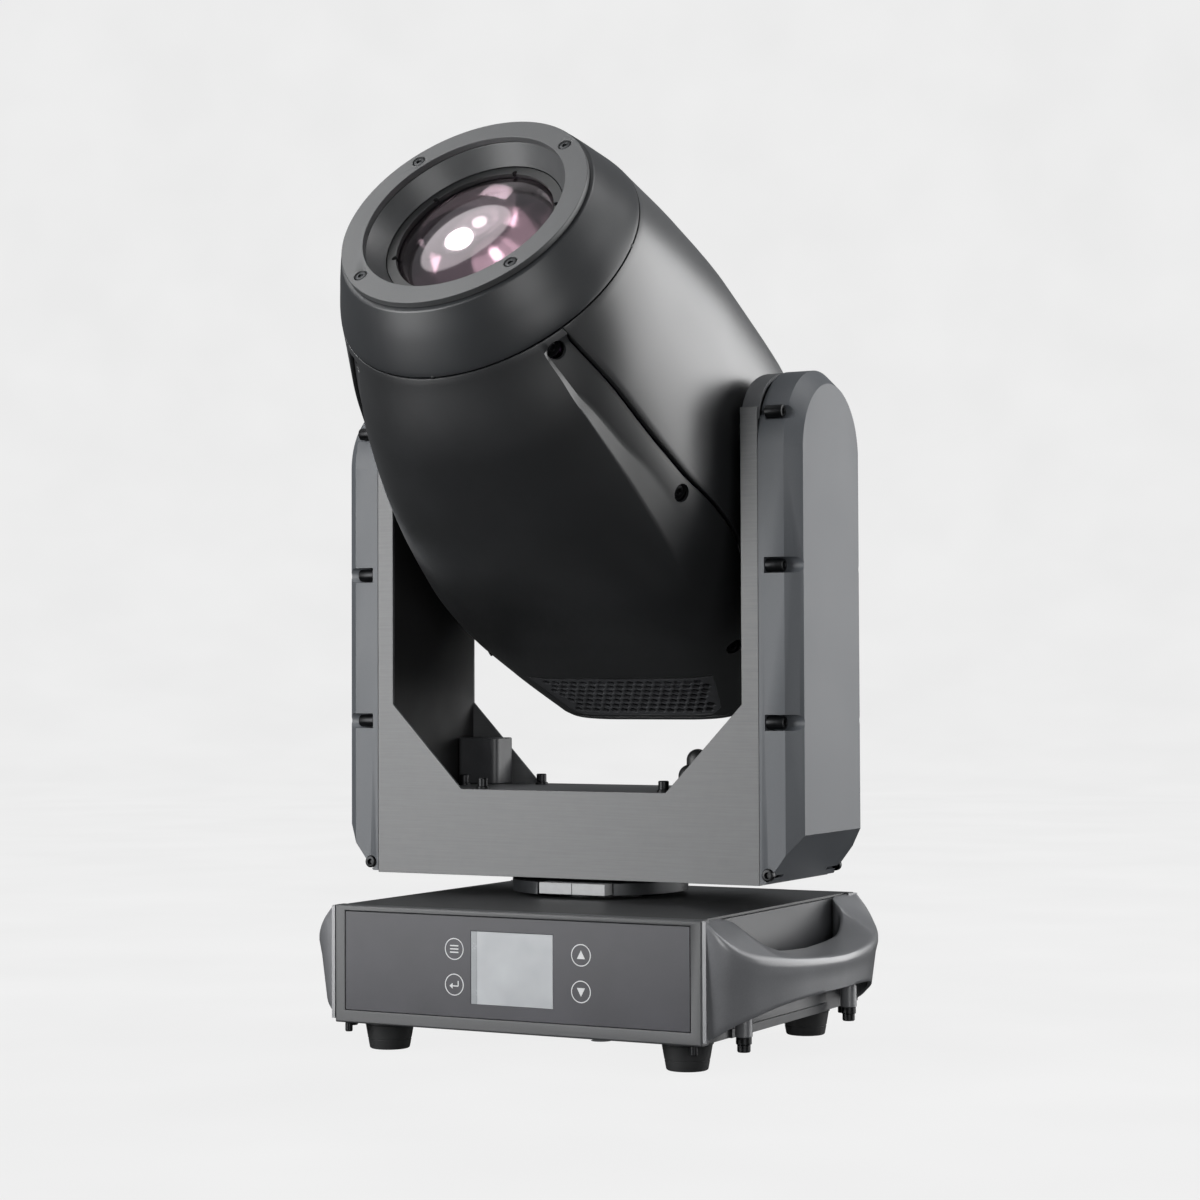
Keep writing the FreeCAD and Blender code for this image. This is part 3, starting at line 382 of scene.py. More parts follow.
def screwProfile(radius, height, socket, chamfer=0.8):
    # socket head screw: rounded rim, hexagonal socket with a floor
    return ((radius * 0.92, 0), (radius, 0.4), (radius, height - chamfer),
            (radius - chamfer * 0.35, height - chamfer * 0.3), (radius - chamfer, height),
            (socket + 0.5, height), (socket, height - 0.4, True), (socket, height - height * 0.55, True))


def addBlock(build, low, high, material=0):
    corners = [build.verts.new((x, y, z))
               for x in (low[0], high[0]) for y in (low[1], high[1]) for z in (low[2], high[2])]
    for a, b, c, d in ((0, 1, 3, 2), (4, 6, 7, 5), (0, 4, 5, 1), (2, 3, 7, 6), (0, 2, 6, 4), (1, 5, 7, 3)):
        build.faces.new((corners[a], corners[b], corners[c], corners[d])).material_index = material


def curveThrough(table, place):
    # smooth value or values at a place along a table whose first column rises
    rows = sorted(table)
    place = min(max(place, rows[0][0]), rows[-1][0])
    i = max(k for k in range(len(rows) - 1) if rows[k][0] <= place or k == 0)
    span = rows[i + 1][0] - rows[i][0]
    t = (place - rows[i][0]) / span
    values = []
    for column in range(1, len(rows[0])):
        slopes = []
        for k in (i, i + 1):
            if k == 0 or k == len(rows) - 1:
                near = 0 if k == 0 else k - 1
                rise = rows[near + 1][column] - rows[near][column]
                slopes.append(rise / (rows[near + 1][0] - rows[near][0]))
                continue
            before = (rows[k][column] - rows[k - 1][column]) / (rows[k][0] - rows[k - 1][0])
            after = (rows[k + 1][column] - rows[k][column]) / (rows[k + 1][0] - rows[k][0])
            slopes.append(0.0 if before * after <= 0 else 2 * before * after / (before + after))
        a, b = rows[i][column], rows[i + 1][column]
        values.append((2 * t ** 3 - 3 * t ** 2 + 1) * a + (t ** 3 - 2 * t ** 2 + t) * span * slopes[0]
                      + (3 * t ** 2 - 2 * t ** 3) * b + (t ** 3 - t ** 2) * span * slopes[1])
    return values


# ---- head shells

headLook = dict(
    # height along the beam, half width, depth under and over the axis, squareness of the outline
    sections=((330, 119.3, 119.3, 119.3, 2.0), (300, 134, 138, 134, 2.0), (271, 146, 152.8, 147, 2.0),
              (190, 158, 184, 169, 2.25), (100, 169.5, 191, 182, 2.55), (0, 175.5, 180, 182, 3.1),
              (-90, 167, 157.5, 165, 4.2), (-170, 148, 136.5, 141, 5.2), (-236, 120, 125.5, 126, 5.8)),
    # height and y of the line between the two shells
    parting=((275, -99.5), (265, -99.8), (237, -101.2), (196, -102), (143, -102.8), (89, -99.9), (28, -89.3),
             (-10, -86), (-50, -89), (-125, -104), (-240, -100)),
    # height, y of the fold in the sunken channel and y of its lower edge
    channel=((264, -116.5, -119.5), (256, -118, -122), (238, -121.5, -126.4), (208, -125.6, -133.5),
             (154, -125.6, -138.8), (108, -121.6, -142.5), (61, -121.2, -145), (6, -112, -146.3),
             (-45, -109, -140), (-85, -107, -125)),
    channelDepth=4.6, foldDepth=4.8, seam=271.0, seamGap=0.5, edgeRoll=1.1, wall=3.2,
    window=(-161.0, -231.0, 103.0, 84.0), collarTop=323.6, rear=-236.0,
    # height, x and y of each shell screw's seat, radius and reach of its round hole
    shellScrews=((256.5, 99.5, -110), (70.0, 149.0, -109.0), (-125, 137.5, -128)), pocket=8.6, pocketReach=9,
    # points per half row: at the rear window, along the side, at the edge, in the channel
    windowPoints=18, sidePoints=22, edgePoints=14, channelPoints=8, rowStep=4.0, sharpAngle=26,
    # plugs over the dowels in the seam: place and the way they face
    plugs=(((146, 0, 271), (1, 0, 0.2)), ((-146, 0, 271), (-1, 0, 0.2)), ((0, -152.8, 271), (0, -1, 0.2))),
    plugProfile=((2.2, -2), (2.2, -0.3), (1.6, 0.1)))


def headSection(height):
    return curveThrough(headLook["sections"], height)


def headX(height, y):
    width, under, over, square = headSection(height)
    depth = over if y > 0 else under
    return width * max(0.0, 1 - abs(y / depth) ** square) ** (1 / square)


def headPoint(height, angle, inset=0.0):
    # angle runs from straight over, through the side, to straight under
    width, under, over, square = headSection(height)
    depth = over if angle > 0 else under
    x = (width - inset) * abs(math.cos(angle)) ** (2 / square)
    y = (depth - inset) * abs(math.sin(angle)) ** (2 / square)
    return Vector((x, math.copysign(y, angle), height))


def angleAtY(height, y):
    width, under, over, square = headSection(height)
    return -math.asin(min(1.0, abs(y / under) ** (square / 2)))


def angleAtX(height, x, side):
    width, under, over, square = headSection(height)
    return side * math.acos(min(1.0, abs(x / width) ** (square / 2)))


def windowWidth(height):
    low, high, wide, narrow = headLook["window"]
    share = min(1.0, max(0.0, (height - low) / (high - low)))
    return wide + (narrow - wide) * share


def spread(a, b, count):
    return [a + (b - a) * i / count for i in range(count)]


def headHeights(low, high, step, extra=()):
    count = max(2, round((high - low) / step))
    heights = set(round(low + (high - low) * i / count, 3) for i in range(count + 1))
    for key in extra:
        near = min(heights, key=lambda h: abs(h - key))
        heights.discard(near)
        heights.add(key)
    return sorted(heights | {low, high})


def upperRow(height, inset=0.0):
    edge = angleAtY(height, curveThrough(headLook["parting"], height)[0] + 0.35)
    corner = angleAtX(height, windowWidth(height), 1)
    window, flank, rim = (headLook[key] for key in ("windowPoints", "sidePoints", "edgePoints"))
    angles = spread(math.pi / 2, corner, window) + spread(corner, 0.0, flank)
    angles += spread(0.0, edge, rim) + [edge]
    half = [headPoint(height, a, inset) for a in angles]
    roll = half[-1].copy()
    half[-1] = headPoint(height, edge * 0.99 + 0.002, inset)
    half.append(Vector((roll.x - headLook["edgeRoll"] * 0.4, roll.y, height)))
    half.append(Vector((roll.x - headLook["edgeRoll"] * 4, roll.y - 0.1, height)))
    return half


def channelShare(height):
    # 1 along the channel, easing to 0 at its two ends
    top, low = headLook["channel"][0][0], headLook["channel"][-1][0]
    share = min(1.0, max(0.0, (top - height) / 5), max(0.0, (height - low) / 40))
    return share * share * (3 - 2 * share)


def lowerRow(height, inset=0.0):
    upper = curveThrough(headLook["parting"], height)[0] - 0.35
    fold, lower = curveThrough(headLook["channel"], height)
    share = channelShare(height)
    points = headLook["channelPoints"]
    fold = min(fold, upper - 3)
    lower = min(lower, fold - 3)
    depth, deep = headLook["channelDepth"] * share, headLook["foldDepth"] * share
    half = [Vector((headX(height, upper) - inset - 0.4 - depth, upper, height))]
    for y in spread(upper - 0.6, fold, points):
        part = (upper - 0.6 - y) / (upper - 0.6 - fold)
        half.append(Vector((headX(height, y) - inset - depth - (deep - depth) * part ** 1.3, y, height)))
    foldX = headX(height, fold) - inset - deep
    lowerX = headX(height, lower) - inset
    for i in range(points):
        t = i / points
        y = fold + (lower - fold) * t
        # the facet is flat between its two edges where the channel is deep
        flat = foldX + (lowerX - foldX) * t
        skin = headX(height, y) - inset
        half.append(Vector((skin if share == 0 else flat + (skin - flat) * (1 - share), y, height)))
    start = angleAtY(height, lower)
    corner = angleAtX(height, windowWidth(height), -1)
    if corner > start - 0.02:
        corner = start - 0.02
    angles = spread(start, corner, headLook["sidePoints"])
    angles += spread(corner, -math.pi / 2, headLook["windowPoints"]) + [-math.pi / 2]
    half += [headPoint(height, a, inset) for a in angles]
    return half


def leftOf(half):
    return [Vector((-p.x, p.y, p.z)) for p in reversed(half)]


def screwSeats():
    # seat and axis of each shell screw
    for height, x, y in headLook["shellScrews"]:
        for side in (-1, 1):
            yield Vector((side * x, y, height)), Vector((side * 0.86, -0.5, 0)).normalized()


def cutPockets(piece):
    # round holes through the wall, cut once and kept as plain mesh
    build = bmesh.new()
    radius, reach = headLook["pocket"], headLook["pocketReach"]
    for seat, axis in screwSeats():
        addTurned(build, ((0.01, -reach), (radius, -reach), (radius, reach)), seat, axis, 40)
    bmesh.ops.remove_doubles(build, verts=build.verts, dist=0.02)
    bmesh.ops.recalc_face_normals(build, faces=build.faces)
    bmesh.ops.transform(build, matrix=headSpace, verts=build.verts)
    bmesh.ops.scale(build, vec=(mm, mm, mm), verts=build.verts)
    mesh = bpy.data.meshes.new("pocketCutter")
    build.to_mesh(mesh)
    build.free()
    cutter = bpy.data.objects.new("pocketCutter", mesh)
    bpy.context.scene.collection.objects.link(cutter)
    cutter.matrix_world = piece.matrix_world
    cut = piece.modifiers.new("pockets", "BOOLEAN")
    cut.operation, cut.solver, cut.object = "DIFFERENCE", "EXACT", cutter
    bpy.context.view_layer.update()
    done = bpy.data.meshes.new_from_object(piece.evaluated_get(bpy.context.evaluated_depsgraph_get()))
    done.name = piece.name
    piece.modifiers.clear()
    piece.data = done
    bpy.data.objects.remove(cutter)


def buildShell(name, rowOf, replaced):
    rear, top = headLook["rear"] + 0.2, headLook["seam"] - headLook["seamGap"]
    windowHigh, windowLow = headLook["window"][:2]
    window = headLook["windowPoints"]
    keys = [windowLow, windowHigh] + [r[0] for r in headLook["channel"]]
    heights = headHeights(rear, top - 1.2, headLook["rowStep"], keys)
    halves = [rowOf(h) for h in heights] + [rowOf(top - 0.4, 0.15), rowOf(top, headLook["edgeRoll"])]
    heights += [top - 0.4, top]
    rows = [leftOf(half) + half if name == "upperShell" else half + leftOf(half) for half in halves]
    middle = len(rows[0]) // 2

    def inWindow(i, j):
        inside = heights[i] >= windowLow - 0.01 and heights[i + 1] <= windowHigh + 0.01
        return inside and middle - window - 1 <= j <= middle + window - 1
    build = bmesh.new()
    addGrid(build, rows, False, 0, inWindow)
    bmesh.ops.remove_doubles(build, verts=build.verts, dist=0.02)
    bmesh.ops.recalc_face_normals(build, faces=build.faces)
    piece = newPiece(name, build, "head", replaced, "satinShellMoulding", headSpace,
            headLook["sharpAngle"])
    addWall(piece, headLook["wall"])
    if name == "lowerShell":
        cutPockets(piece)


def ringRow(height, inset):
    angles = spread(math.pi / 2, -math.pi / 2, 72) + [-math.pi / 2]
    half = [headPoint(height, a, inset) for a in angles]
    return half + leftOf(half)[1:-1]


def buildCollar():
    low, top, roll = headLook["seam"] + headLook["seamGap"], headLook["collarTop"], headLook["edgeRoll"]
    heights = [low, low + 0.4] + headHeights(low + 1.2, top - 1.2, 3.0) + [top - 0.4, top]
    insets = [roll, 0.15] + [0.0] * (len(heights) - 4) + [0.2, 1.0]
    rows = [ringRow(low, 8.0)] + [ringRow(h, i) for h, i in zip(heights, insets)] + [ringRow(top, 6.0)]
    build = bmesh.new()
    addGrid(build, rows, True)
    for place, out in headLook["plugs"]:
        addTurned(build, headLook["plugProfile"], place, out, 16, 1)
    bmesh.ops.recalc_face_normals(build, faces=build.faces)
    newPiece("frontCollarMoulding", build, "head", ("front_collar",),
             ("satinCollarMoulding", "blackNylon"), headSpace, 40)


buildShell("upperShell", upperRow, ("upper_shell",))
buildShell("lowerShell", lowerRow, ("lower_shell",))
buildCollar()
print("head shells ready")


# ---- lens and its dark barrel

lensLook = dict(radius=79.9, edgeLow=290.5, edgeHigh=298.0, sag=19.6, rows=40)


def buildFrontLens():
    radius, sag, high = lensLook["radius"], lensLook["sag"], lensLook["edgeHigh"]
    bend = (radius ** 2 + sag ** 2) / (2 * sag)
    low, rows = lensLook["edgeLow"], lensLook["rows"]
    profile = [(0.01, low), (radius - 1, low), (radius, low + 0.8), (radius, high - 0.3)]
    for i in range(1, rows + 1):
        r = radius * (1 - i / rows) + 0.01
        profile.append((r, high + sag - bend + math.sqrt(bend ** 2 - r ** 2)))
    build = bmesh.new()
    addTurned(build, profile, segments=128, capEnd=False)
    bmesh.ops.remove_doubles(build, verts=build.verts, dist=0.05)
    bmesh.ops.recalc_face_normals(build, faces=build.faces)
    newPiece("frontLensDome", build, "head", ("front_lens",), "coatedFrontLens", headSpace, 50)


buildFrontLens()
print("lens ready")


# ---- screws with hexagonal sockets

screwLook = dict(
    yokeHeights=(592.0, 452.0, 309.0), yokeAcross=71.5, yokeStart=211.5,
    # heads: radius, height and size of the socket
    yokeHead=(6.0, 17.0, 2.9), cornerHead=(5.6, 5.5, 2.6), cornerPlace=(213.5, 74.5, 171),
    pegs=((-98, -58), (98, -58), (-98, 58), (-160, 10)), ringCircle=108.5, ringTop=326.7,
    ringHead=(5.6, 2.8, 2.3), shellHead=(5.6, 5.4, 2.7), shellSink=7.4,
    pillar=(208.0, 120.0), pillarTop=30.6, frontFoot=(181.0, 166.0), frontFootTop=26.5,
    # turned profiles: radius, height and whether the row follows the hexagon of a socket
    pegProfile=((6.4, 0), (6.4, 2.2), (5.0, 2.8), (5.0, 10.0), (4.3, 10.8), (2.8, 10.8),
                (2.4, 10.4, True), (2.4, 7, True)),
    pillarProfile=((6.6, 0.0), (7.1, 0.5), (7.1, 6.0), (6.0, 6.8), (6.0, 12.4), (5.2, 13.4), (2.8, 13.4),
                   (2.4, 13.0, True), (2.4, 9.0, True)),
    cornerProfile=((3.2, 0.0), (3.5, 0.4), (3.5, 7.6), (2.9, 8.4), (1.6, 8.4),
                   (1.4, 8.0, True), (1.4, 5.0, True)))


def addScrew(build, sizes, place, axis, material=0):
    radius, height, socket = sizes
    addTurned(build, screwProfile(radius, height, socket), place, axis, 30, material)


def buildScrews():
    look = screwLook
    build = bmesh.new()
    for side in (-1, 1):
        for across in (-1, 1):
            for z in look["yokeHeights"]:
                place = (side * look["yokeStart"], across * look["yokeAcross"], z)
                addScrew(build, look["yokeHead"], place, (side, 0, 0))
            x, y, z = look["cornerPlace"]
            addScrew(build, look["cornerHead"], (side * x, across * y, z), (0, across, 0))
    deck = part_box("crossbeam_deck")[1].z / mm - 0.2
    for x, y in look["pegs"]:
        addTurned(build, look["pegProfile"], (x, y, deck), segments=30)
    bmesh.ops.recalc_face_normals(build, faces=build.faces)
    newPiece("yokeSocketScrews", build, "yoke", ("yoke_screws",), "blackOxideScrew")
    build = bmesh.new()
    for turn in (45, 135, 225, 315):
        x, y = (look["ringCircle"] * f(math.radians(turn)) for f in (math.cos, math.sin))
        addScrew(build, look["ringHead"], (x, y, look["ringTop"]), (0, 0, 1), 1)
    radius, reach = headLook["pocket"], headLook["pocketReach"]
    cup = ((radius - 0.05, -reach), (radius - 0.05, -2.4), (radius - 0.5, -2.4),
           (radius - 0.6, -7.5), (0.01, -7.5))
    for seat, axis in screwSeats():
        # dark cup behind the hole in the shell, and the screw in it
        addTurned(build, cup, seat, axis, 40, 2)
        addScrew(build, look["shellHead"], seat - axis * look["shellSink"], axis)
    bmesh.ops.recalc_face_normals(build, faces=build.faces)
    newPiece("headSocketScrews", build, "head", ("head_screws",),
             ("blackOxideScrew", "darkAnodisedAluminium", "blackNylon"), headSpace)
    build = bmesh.new()
    x, y = look["pillar"]
    footX, footY = look["frontFoot"]
    for side in (-1, 1):
        for across in (-1, 1):
            # captive screws with a shoulder, their sockets facing the floor
            place = (side * x, across * y, look["pillarTop"])
            addTurned(build, look["pillarProfile"], place, (0, 0, -1), 30)
            place = (side * footX, across * footY, look["frontFootTop"])
            addTurned(build, look["cornerProfile"], place, (0, 0, -1), 24)
    bmesh.ops.recalc_face_normals(build, faces=build.faces)
    newPiece("baseCaptiveScrews", build, "base", ("base_screws",), "blackOxideScrew")


buildScrews()
print("screws ready")


# ---- base

baseLook = dict(
    # inner lip, outer lip and lower edge of the handle, from the front corner to the middle
    handle=((-158.0, 188.3, 136.9, 196.0, -172.2, 136.8, 30.3),
            (-152.0, 188.3, 136.9, 206.0, -169.4, 126.0, 34.3),
            (-144.0, 188.4, 136.9, 213.0, -164.9, 118.5, 38.3),
            (-134.0, 188.6, 136.9, 222.0, -154.9, 110.0, 44.3),
            (-124.0, 190.0, 135.9, 231.0, -139.9, 104.5, 49.2),
            (-115.5, 196.0, 131.9, 239.0, -119.9, 101.0, 54.2),
            (-111.0, 203.0, 120.9, 245.0, -99.9, 99.0, 58.2),
            (-98.0, 208.0, 110.9, 250.0, -75.0, 97.5, 61.2),
            (-76.0, 212.0, 103.9, 253.0, -50.0, 96.3, 62.6),
            (-42.0, 213.0, 100.9, 255.0, -25.0, 95.5, 63.1),
            (0.0, 213.3, 99.4, 255.9, 0.0, 95.0, 63.1)),
    # lean of the outer face at the middle, and what the ends add to it
    handleLean=(3.0, 5.0), handleHalf=172.6,
    handleRound=3.0, handleWall=4.0, pillarProfile=((7.0, 30.4), (7.9, 31.2), (7.9, 92.0)),
    # web beside the bezel: inner y, outer y and x, and its levels
    web=(158.4, 172.2, 196.2), webLevels=(30.4, 60.0, 100.0, 136.6),
    touchRings=((-61.0, 101.3), (-61.0, 68.6), (71.8, 101.6), (71.7, 68.9)),
    ringSize=9.6, ringLine=0.9, iconLine=1.1,
    glassEdge=0.5, screenEdge=0.2, screenStrip=6.4, screenGap=0.15, printLift=0.06,
    # foot: rounded sole, two shallow rings and a recessed washer
    footRadius=24, footProfile=(
        (9.0, 4.0), (9.0, 0.6), (10.0, 0.05), (17.8, 0.05), (18.8, 0.7), (19.2, 2.0), (20.4, 8.6),
        (20.1, 8.9), (20.2, 9.7), (20.7, 10.0), (22.9, 22.6), (23.9, 23.4), (23.9, 26.0),
        (23.4, 26.5), (8.0, 26.5)),
    washerProfile=((8.9, 3.2), (6.0, 3.2), (6.0, 2.4), (5.2, 2.0), (2.6, 2.0), (2.4, 3.0, True)))


def handleRows():
    # rows of points around the casting's section, front corner to middle to rear corner
    knots = [(i,) + row for i, row in enumerate(baseLook["handle"])]
    steps = [i / 4 for i in range(4 * (len(knots) - 1) + 1)]
    rows = []
    for step in steps:
        innerY, innerX, innerZ, outerX, outerY, outerZ, low = curveThrough(knots, step)
        inner, outer = Vector((innerX, innerY, innerZ)), Vector((outerX, outerY, outerZ))
        across = Vector((outer.x - inner.x, outer.y - inner.y, 0)).normalized()
        wall, roll = baseLook["handleWall"], min(baseLook["handleRound"], (outer - inner).length * 0.3)
        down = Vector((0, 0, -1))
        top = (outer - inner).normalized()
        # up the inner face, over the lip with rounded corners, down the leaning outer face
        points = [Vector((inner.x, inner.y, low + 0.4)), inner + down * roll * 2, inner + down * roll]
        points += [inner + down * roll * 0.3 + top * roll * 0.3, inner + top * roll, inner + top * roll * 2]
        points += [outer - top * roll * 2, outer - top * roll, outer + down * roll * 0.35 - top * roll * 0.25]
        points += [outer + down * roll, outer + down * roll * 2.5]
        lean, more = baseLook["handleLean"]
        face = outer - across * (lean + more * abs(outer.y) / baseLook["handleHalf"])
        foot = Vector((face.x, face.y, low))
        points += [outer + (foot - outer) * t for t in (0.35, 0.65, 0.9, 0.97)]
        # back along the hollow underside
        points += [foot - across * 1.0, foot - across * wall]
        rise = max(6.0, outer.z - low - 9)
        points.append(Vector((face.x, face.y, low + rise)) - across * wall)
        points.append(Vector((inner.x, inner.y, low + rise)) + across * wall)
        points.append(Vector((inner.x, inner.y, low + 0.4)) + across * wall)
        rows.append(points)
    return rows + [[Vector((p.x, -p.y, p.z)) for p in row] for row in reversed(rows[:-1])]


def buildHandles():
    rows = handleRows()
    for side, name in ((1, "handle_right"), (-1, "handle_left")):
        build = bmesh.new()
        grid = addGrid(build, [[Vector((side * p.x, p.y, p.z)) for p in row] for row in rows], True)
        build.faces.new(grid[0])
        build.faces.new(grid[-1])
        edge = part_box("front_bezel")[1].x / mm + 0.3
        for across in (-1, 1):
            # pillars under the band and the web beside the bezel
            x, y = screwLook["pillar"]
            addTurned(build, baseLook["pillarProfile"], (side * x, across * y, 0), segments=32)
            innerY, outerY, outerX = baseLook["web"]
            web = [(edge, across * innerY), (outerX, across * outerY), (edge, across * outerY)]
            levels = [[Vector((side * x, y, z)) for x, y in web] for z in baseLook["webLevels"]]
            ends = addGrid(build, levels, True)
            build.faces.new(ends[0])
            build.faces.new(ends[-1])
        bmesh.ops.recalc_face_normals(build, faces=build.faces)
        title = "handleCasting" + ("Right" if side > 0 else "Left")
        newPiece(title, build, "base", (name,), "satinHandleCasting", smoothAngle=38)


def buildControlPanel():
    low, high = (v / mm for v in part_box("control_glass"))
    windowLow, windowHigh = (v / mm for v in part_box("display_screen"))
    build = bmesh.new()
    xs = (low.x, windowLow.x, windowHigh.x, high.x)
    zs = (low.z, windowLow.z, windowHigh.z, high.z)
    for y in (low.y, high.y):
        for i in range(3):
            for k in range(3):
                if i == 1 and k == 1:
                    continue
                corners = [(xs[i], zs[k]), (xs[i + 1], zs[k]), (xs[i + 1], zs[k + 1]), (xs[i], zs[k + 1])]
                build.faces.new([build.verts.new((x, y, z)) for x, z in corners])
    for x0, z0, x1, z1 in ((xs[0], zs[0], xs[3], zs[3]), (xs[1], zs[1], xs[2], zs[2])):
        loop = [(x0, z0), (x1, z0), (x1, z1), (x0, z1)]
        for a, b in zip(loop, loop[1:] + loop[:1]):
            wall = ((a[0], low.y, a[1]), (b[0], low.y, b[1]), (b[0], high.y, b[1]), (a[0], high.y, a[1]))
            build.faces.new([build.verts.new(corner) for corner in wall])
    bmesh.ops.remove_doubles(build, verts=build.verts, dist=0.01)
    bmesh.ops.recalc_face_normals(build, faces=build.faces)
    panel = newPiece("controlPanelGlass", build, "base", ("control_glass",),
                     "tintedPanelGlass")
    addBevel(panel, baseLook["glassEdge"])
    build = bmesh.new()
    strip = windowLow.x + baseLook["screenStrip"]
    gap = baseLook["screenGap"]
    near, under, over = low.y + gap, windowLow.z + gap, windowHigh.z - gap
    addBlock(build, (windowLow.x + gap, near, under), (strip, high.y, over), 1)
    addBlock(build, (strip, near, under), (windowHigh.x - gap, high.y, over), 0)
    bmesh.ops.recalc_face_normals(build, faces=build.faces)
    screen = newPiece("displayWindow", build, "base", ("display_screen",),
            ("greyDisplayFilm", "greyDisplayEdge"))
    addBevel(screen, baseLook["screenEdge"])
    build = bmesh.new()
    front = low.y - baseLook["printLift"]

    def stroke(points, line, closed=False):
        # flat printed line through points on the glass
        count = len(points)
        for i in range(count if closed else count - 1):
            a, b = Vector(points[i]), Vector(points[(i + 1) % count])
            side = Vector((-(b - a).y, (b - a).x)).normalized() * line / 2
            corners = (a + side, b + side, b - side, a - side)
            build.faces.new([build.verts.new((p.x, front, p.y)) for p in corners])

    def area(points):
        build.faces.new([build.verts.new((x, front, z)) for x, z in points])
    size, line, thin = (baseLook[key] for key in ("ringSize", "ringLine", "iconLine"))
    for index, (x, z) in enumerate(baseLook["touchRings"]):
        turns = [math.radians(a) for a in range(0, 360, 5)]
        circle = [(x + size * math.cos(a), z + size * math.sin(a)) for a in turns]
        stroke(circle, line, True)
        if index == 0:  # three list lines
            for dz in (-3, 0, 3):
                stroke([(x - 4.5, z + dz), (x + 4.5, z + dz)], thin)
        if index == 1:  # return arrow
            stroke([(x + 4.2, z + 3.6), (x + 4.2, z - 1.2), (x - 2.4, z - 1.2)], thin)
            area([(x - 5.2, z - 1.2), (x - 1.8, z + 1.4), (x - 1.8, z - 3.8)])
        if index > 1:  # up and down arrows
            way = 1 if index == 2 else -1
            area([(x - 4.2, z - way * 3.4), (x + 4.2, z - way * 3.4), (x, z + way * 4.4)])
    newPiece("touchKeyPrint", build, "base", (), "printedKeyWhite")


def buildFeet():
    build = bmesh.new()
    low, high = (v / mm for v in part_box("rubber_feet"))
    radius = baseLook["footRadius"]
    for x in (low.x + radius, high.x - radius):
        for y in (low.y + radius, high.y - radius):
            addTurned(build, baseLook["footProfile"], (x, y, 0), segments=56)
            addTurned(build, baseLook["washerProfile"], (x, y, 0), segments=30)
    bmesh.ops.recalc_face_normals(build, faces=build.faces)
    newPiece("taperedFeet", build, "base", ("rubber_feet",), "mouldedRubber")


buildHandles()
buildControlPanel()
buildFeet()
print("base castings, panel and feet ready")


# ---- sheet parts and mouldings with broken edges

edgedNodes = {
    # node: body, finish, edge in mm
    "yoke_front_plate": ("yoke", "satinPowderCoatSheet", 0.5),
    "yoke_back_plate": ("yoke", "satinPowderCoatSheet", 0.5),
    "arm_frame_right": ("yoke", "satinPowderCoatFrame", 0.7),
    "arm_frame_left": ("yoke", "satinPowderCoatFrame", 0.7),
    "crossbeam_deck": ("yoke", "satinPowderCoatFrame", 0.5),
    "crossbeam_floor": ("yoke", "satinPowderCoatFrame", 0.5),
    "arm_cover_right": ("yoke", "satinAbsBlueGrey", 0.9),
    "arm_cover_left": ("yoke", "satinAbsBlueGrey", 0.9),
    "tilt_lock_housing": ("yoke", "satinGreyNylon", 1.2),
    "vent_glands": ("yoke", "blackNylon", 0.7),
    "front_bezel": ("base", "satinPowderCoatCasting", 0.8),
    "rear_panel": ("base", "satinPowderCoatCasting", 0.8),
    # the tray's coat is the casting's, darker as painted shade
    "base_tray": ("base", "satinTrayCoat", 0.8),
    "top_cover": ("base", "darkPowderCoat", 0.8),
    # the lock block's pale face is a painted reflection
    "pan_lock_block": ("base", "paleCastBlock", 0.8),
    "pan_shaft": ("base", "darkAnodisedAluminium", 0.6),
    "rear_connectors": ("base", "blackNylon", 0.5),
    "front_ring": ("head", "satinRingPaint", 0.6),
    # the cone's paint is the ring's, darker as painted shade
    "bezel_cone": ("head", "satinConePaint", 0.4),
    "lens_retainer": ("head", "blackNylon", 0.4),
    "rear_cap": ("head", "satinShellMoulding", 0.8),
}
paintedShadeLow = 330 * mm  # the painted shade starts above the diagonal corners
for node, (body, finish, width) in edgedNodes.items():
    piece = edgedCopy(node, body, finish, width)
    # the arms' inner faces beside the head get the near-black painted shade
    if node.startswith("arm_frame"):
        piece.data.materials.append(materials["innerArmPaintedShade"])
        inner = min(abs(v.co.x) for v in piece.data.vertices if v.co.z > paintedShadeLow) + 0.5 * mm
        for face in piece.data.polygons:
            if abs(face.normal.x) > 0.9 and abs(face.center.x) < inner and face.center.z > paintedShadeLow:
                face.material_index = 1
print("edged parts ready:", len(edgedNodes))


# ---- CAD nodes that stay as they are, in better finishes

keptNodes = {
    "laminatedMotorBlack": ("pan_motor", "tilt_motor", "wheel_motors"),
    "mouldedRubber": ("pan_belt", "tilt_belt"),
    "blackNylon": ("fan_frames", "zoom_carrier", "focus_carrier"),
    "greyFanNylon": ("fan_rotor_left", "fan_rotor_right"),
    "machinedAluminium": ("guide_rods", "pan_motor_pulley", "tilt_motor_pulley", "shaft_bearings",
                          "heat_sink", "gobo_wheel", "colour_wheel", "led_engine"),
    "darkAnodisedAluminium": ("trunnion_left", "trunnion_right", "head_chassis"),
    "punchedSteelMesh": ("grille_lower", "grille_upper"),
    "solderMaskBoard": ("control_board",),
    "pressedSteelCase": ("power_supply",),
    "coatedInnerLens": ("zoom_lens", "focus_lens"),
}
for finish, members in keptNodes.items():
    for member in members:
        nodes[member].data.materials.clear()
        nodes[member].data.materials.append(materials[finish])
print("kept parts repainted:", sum(len(m) for m in keptNodes.values()))


# ---- stage, light and camera

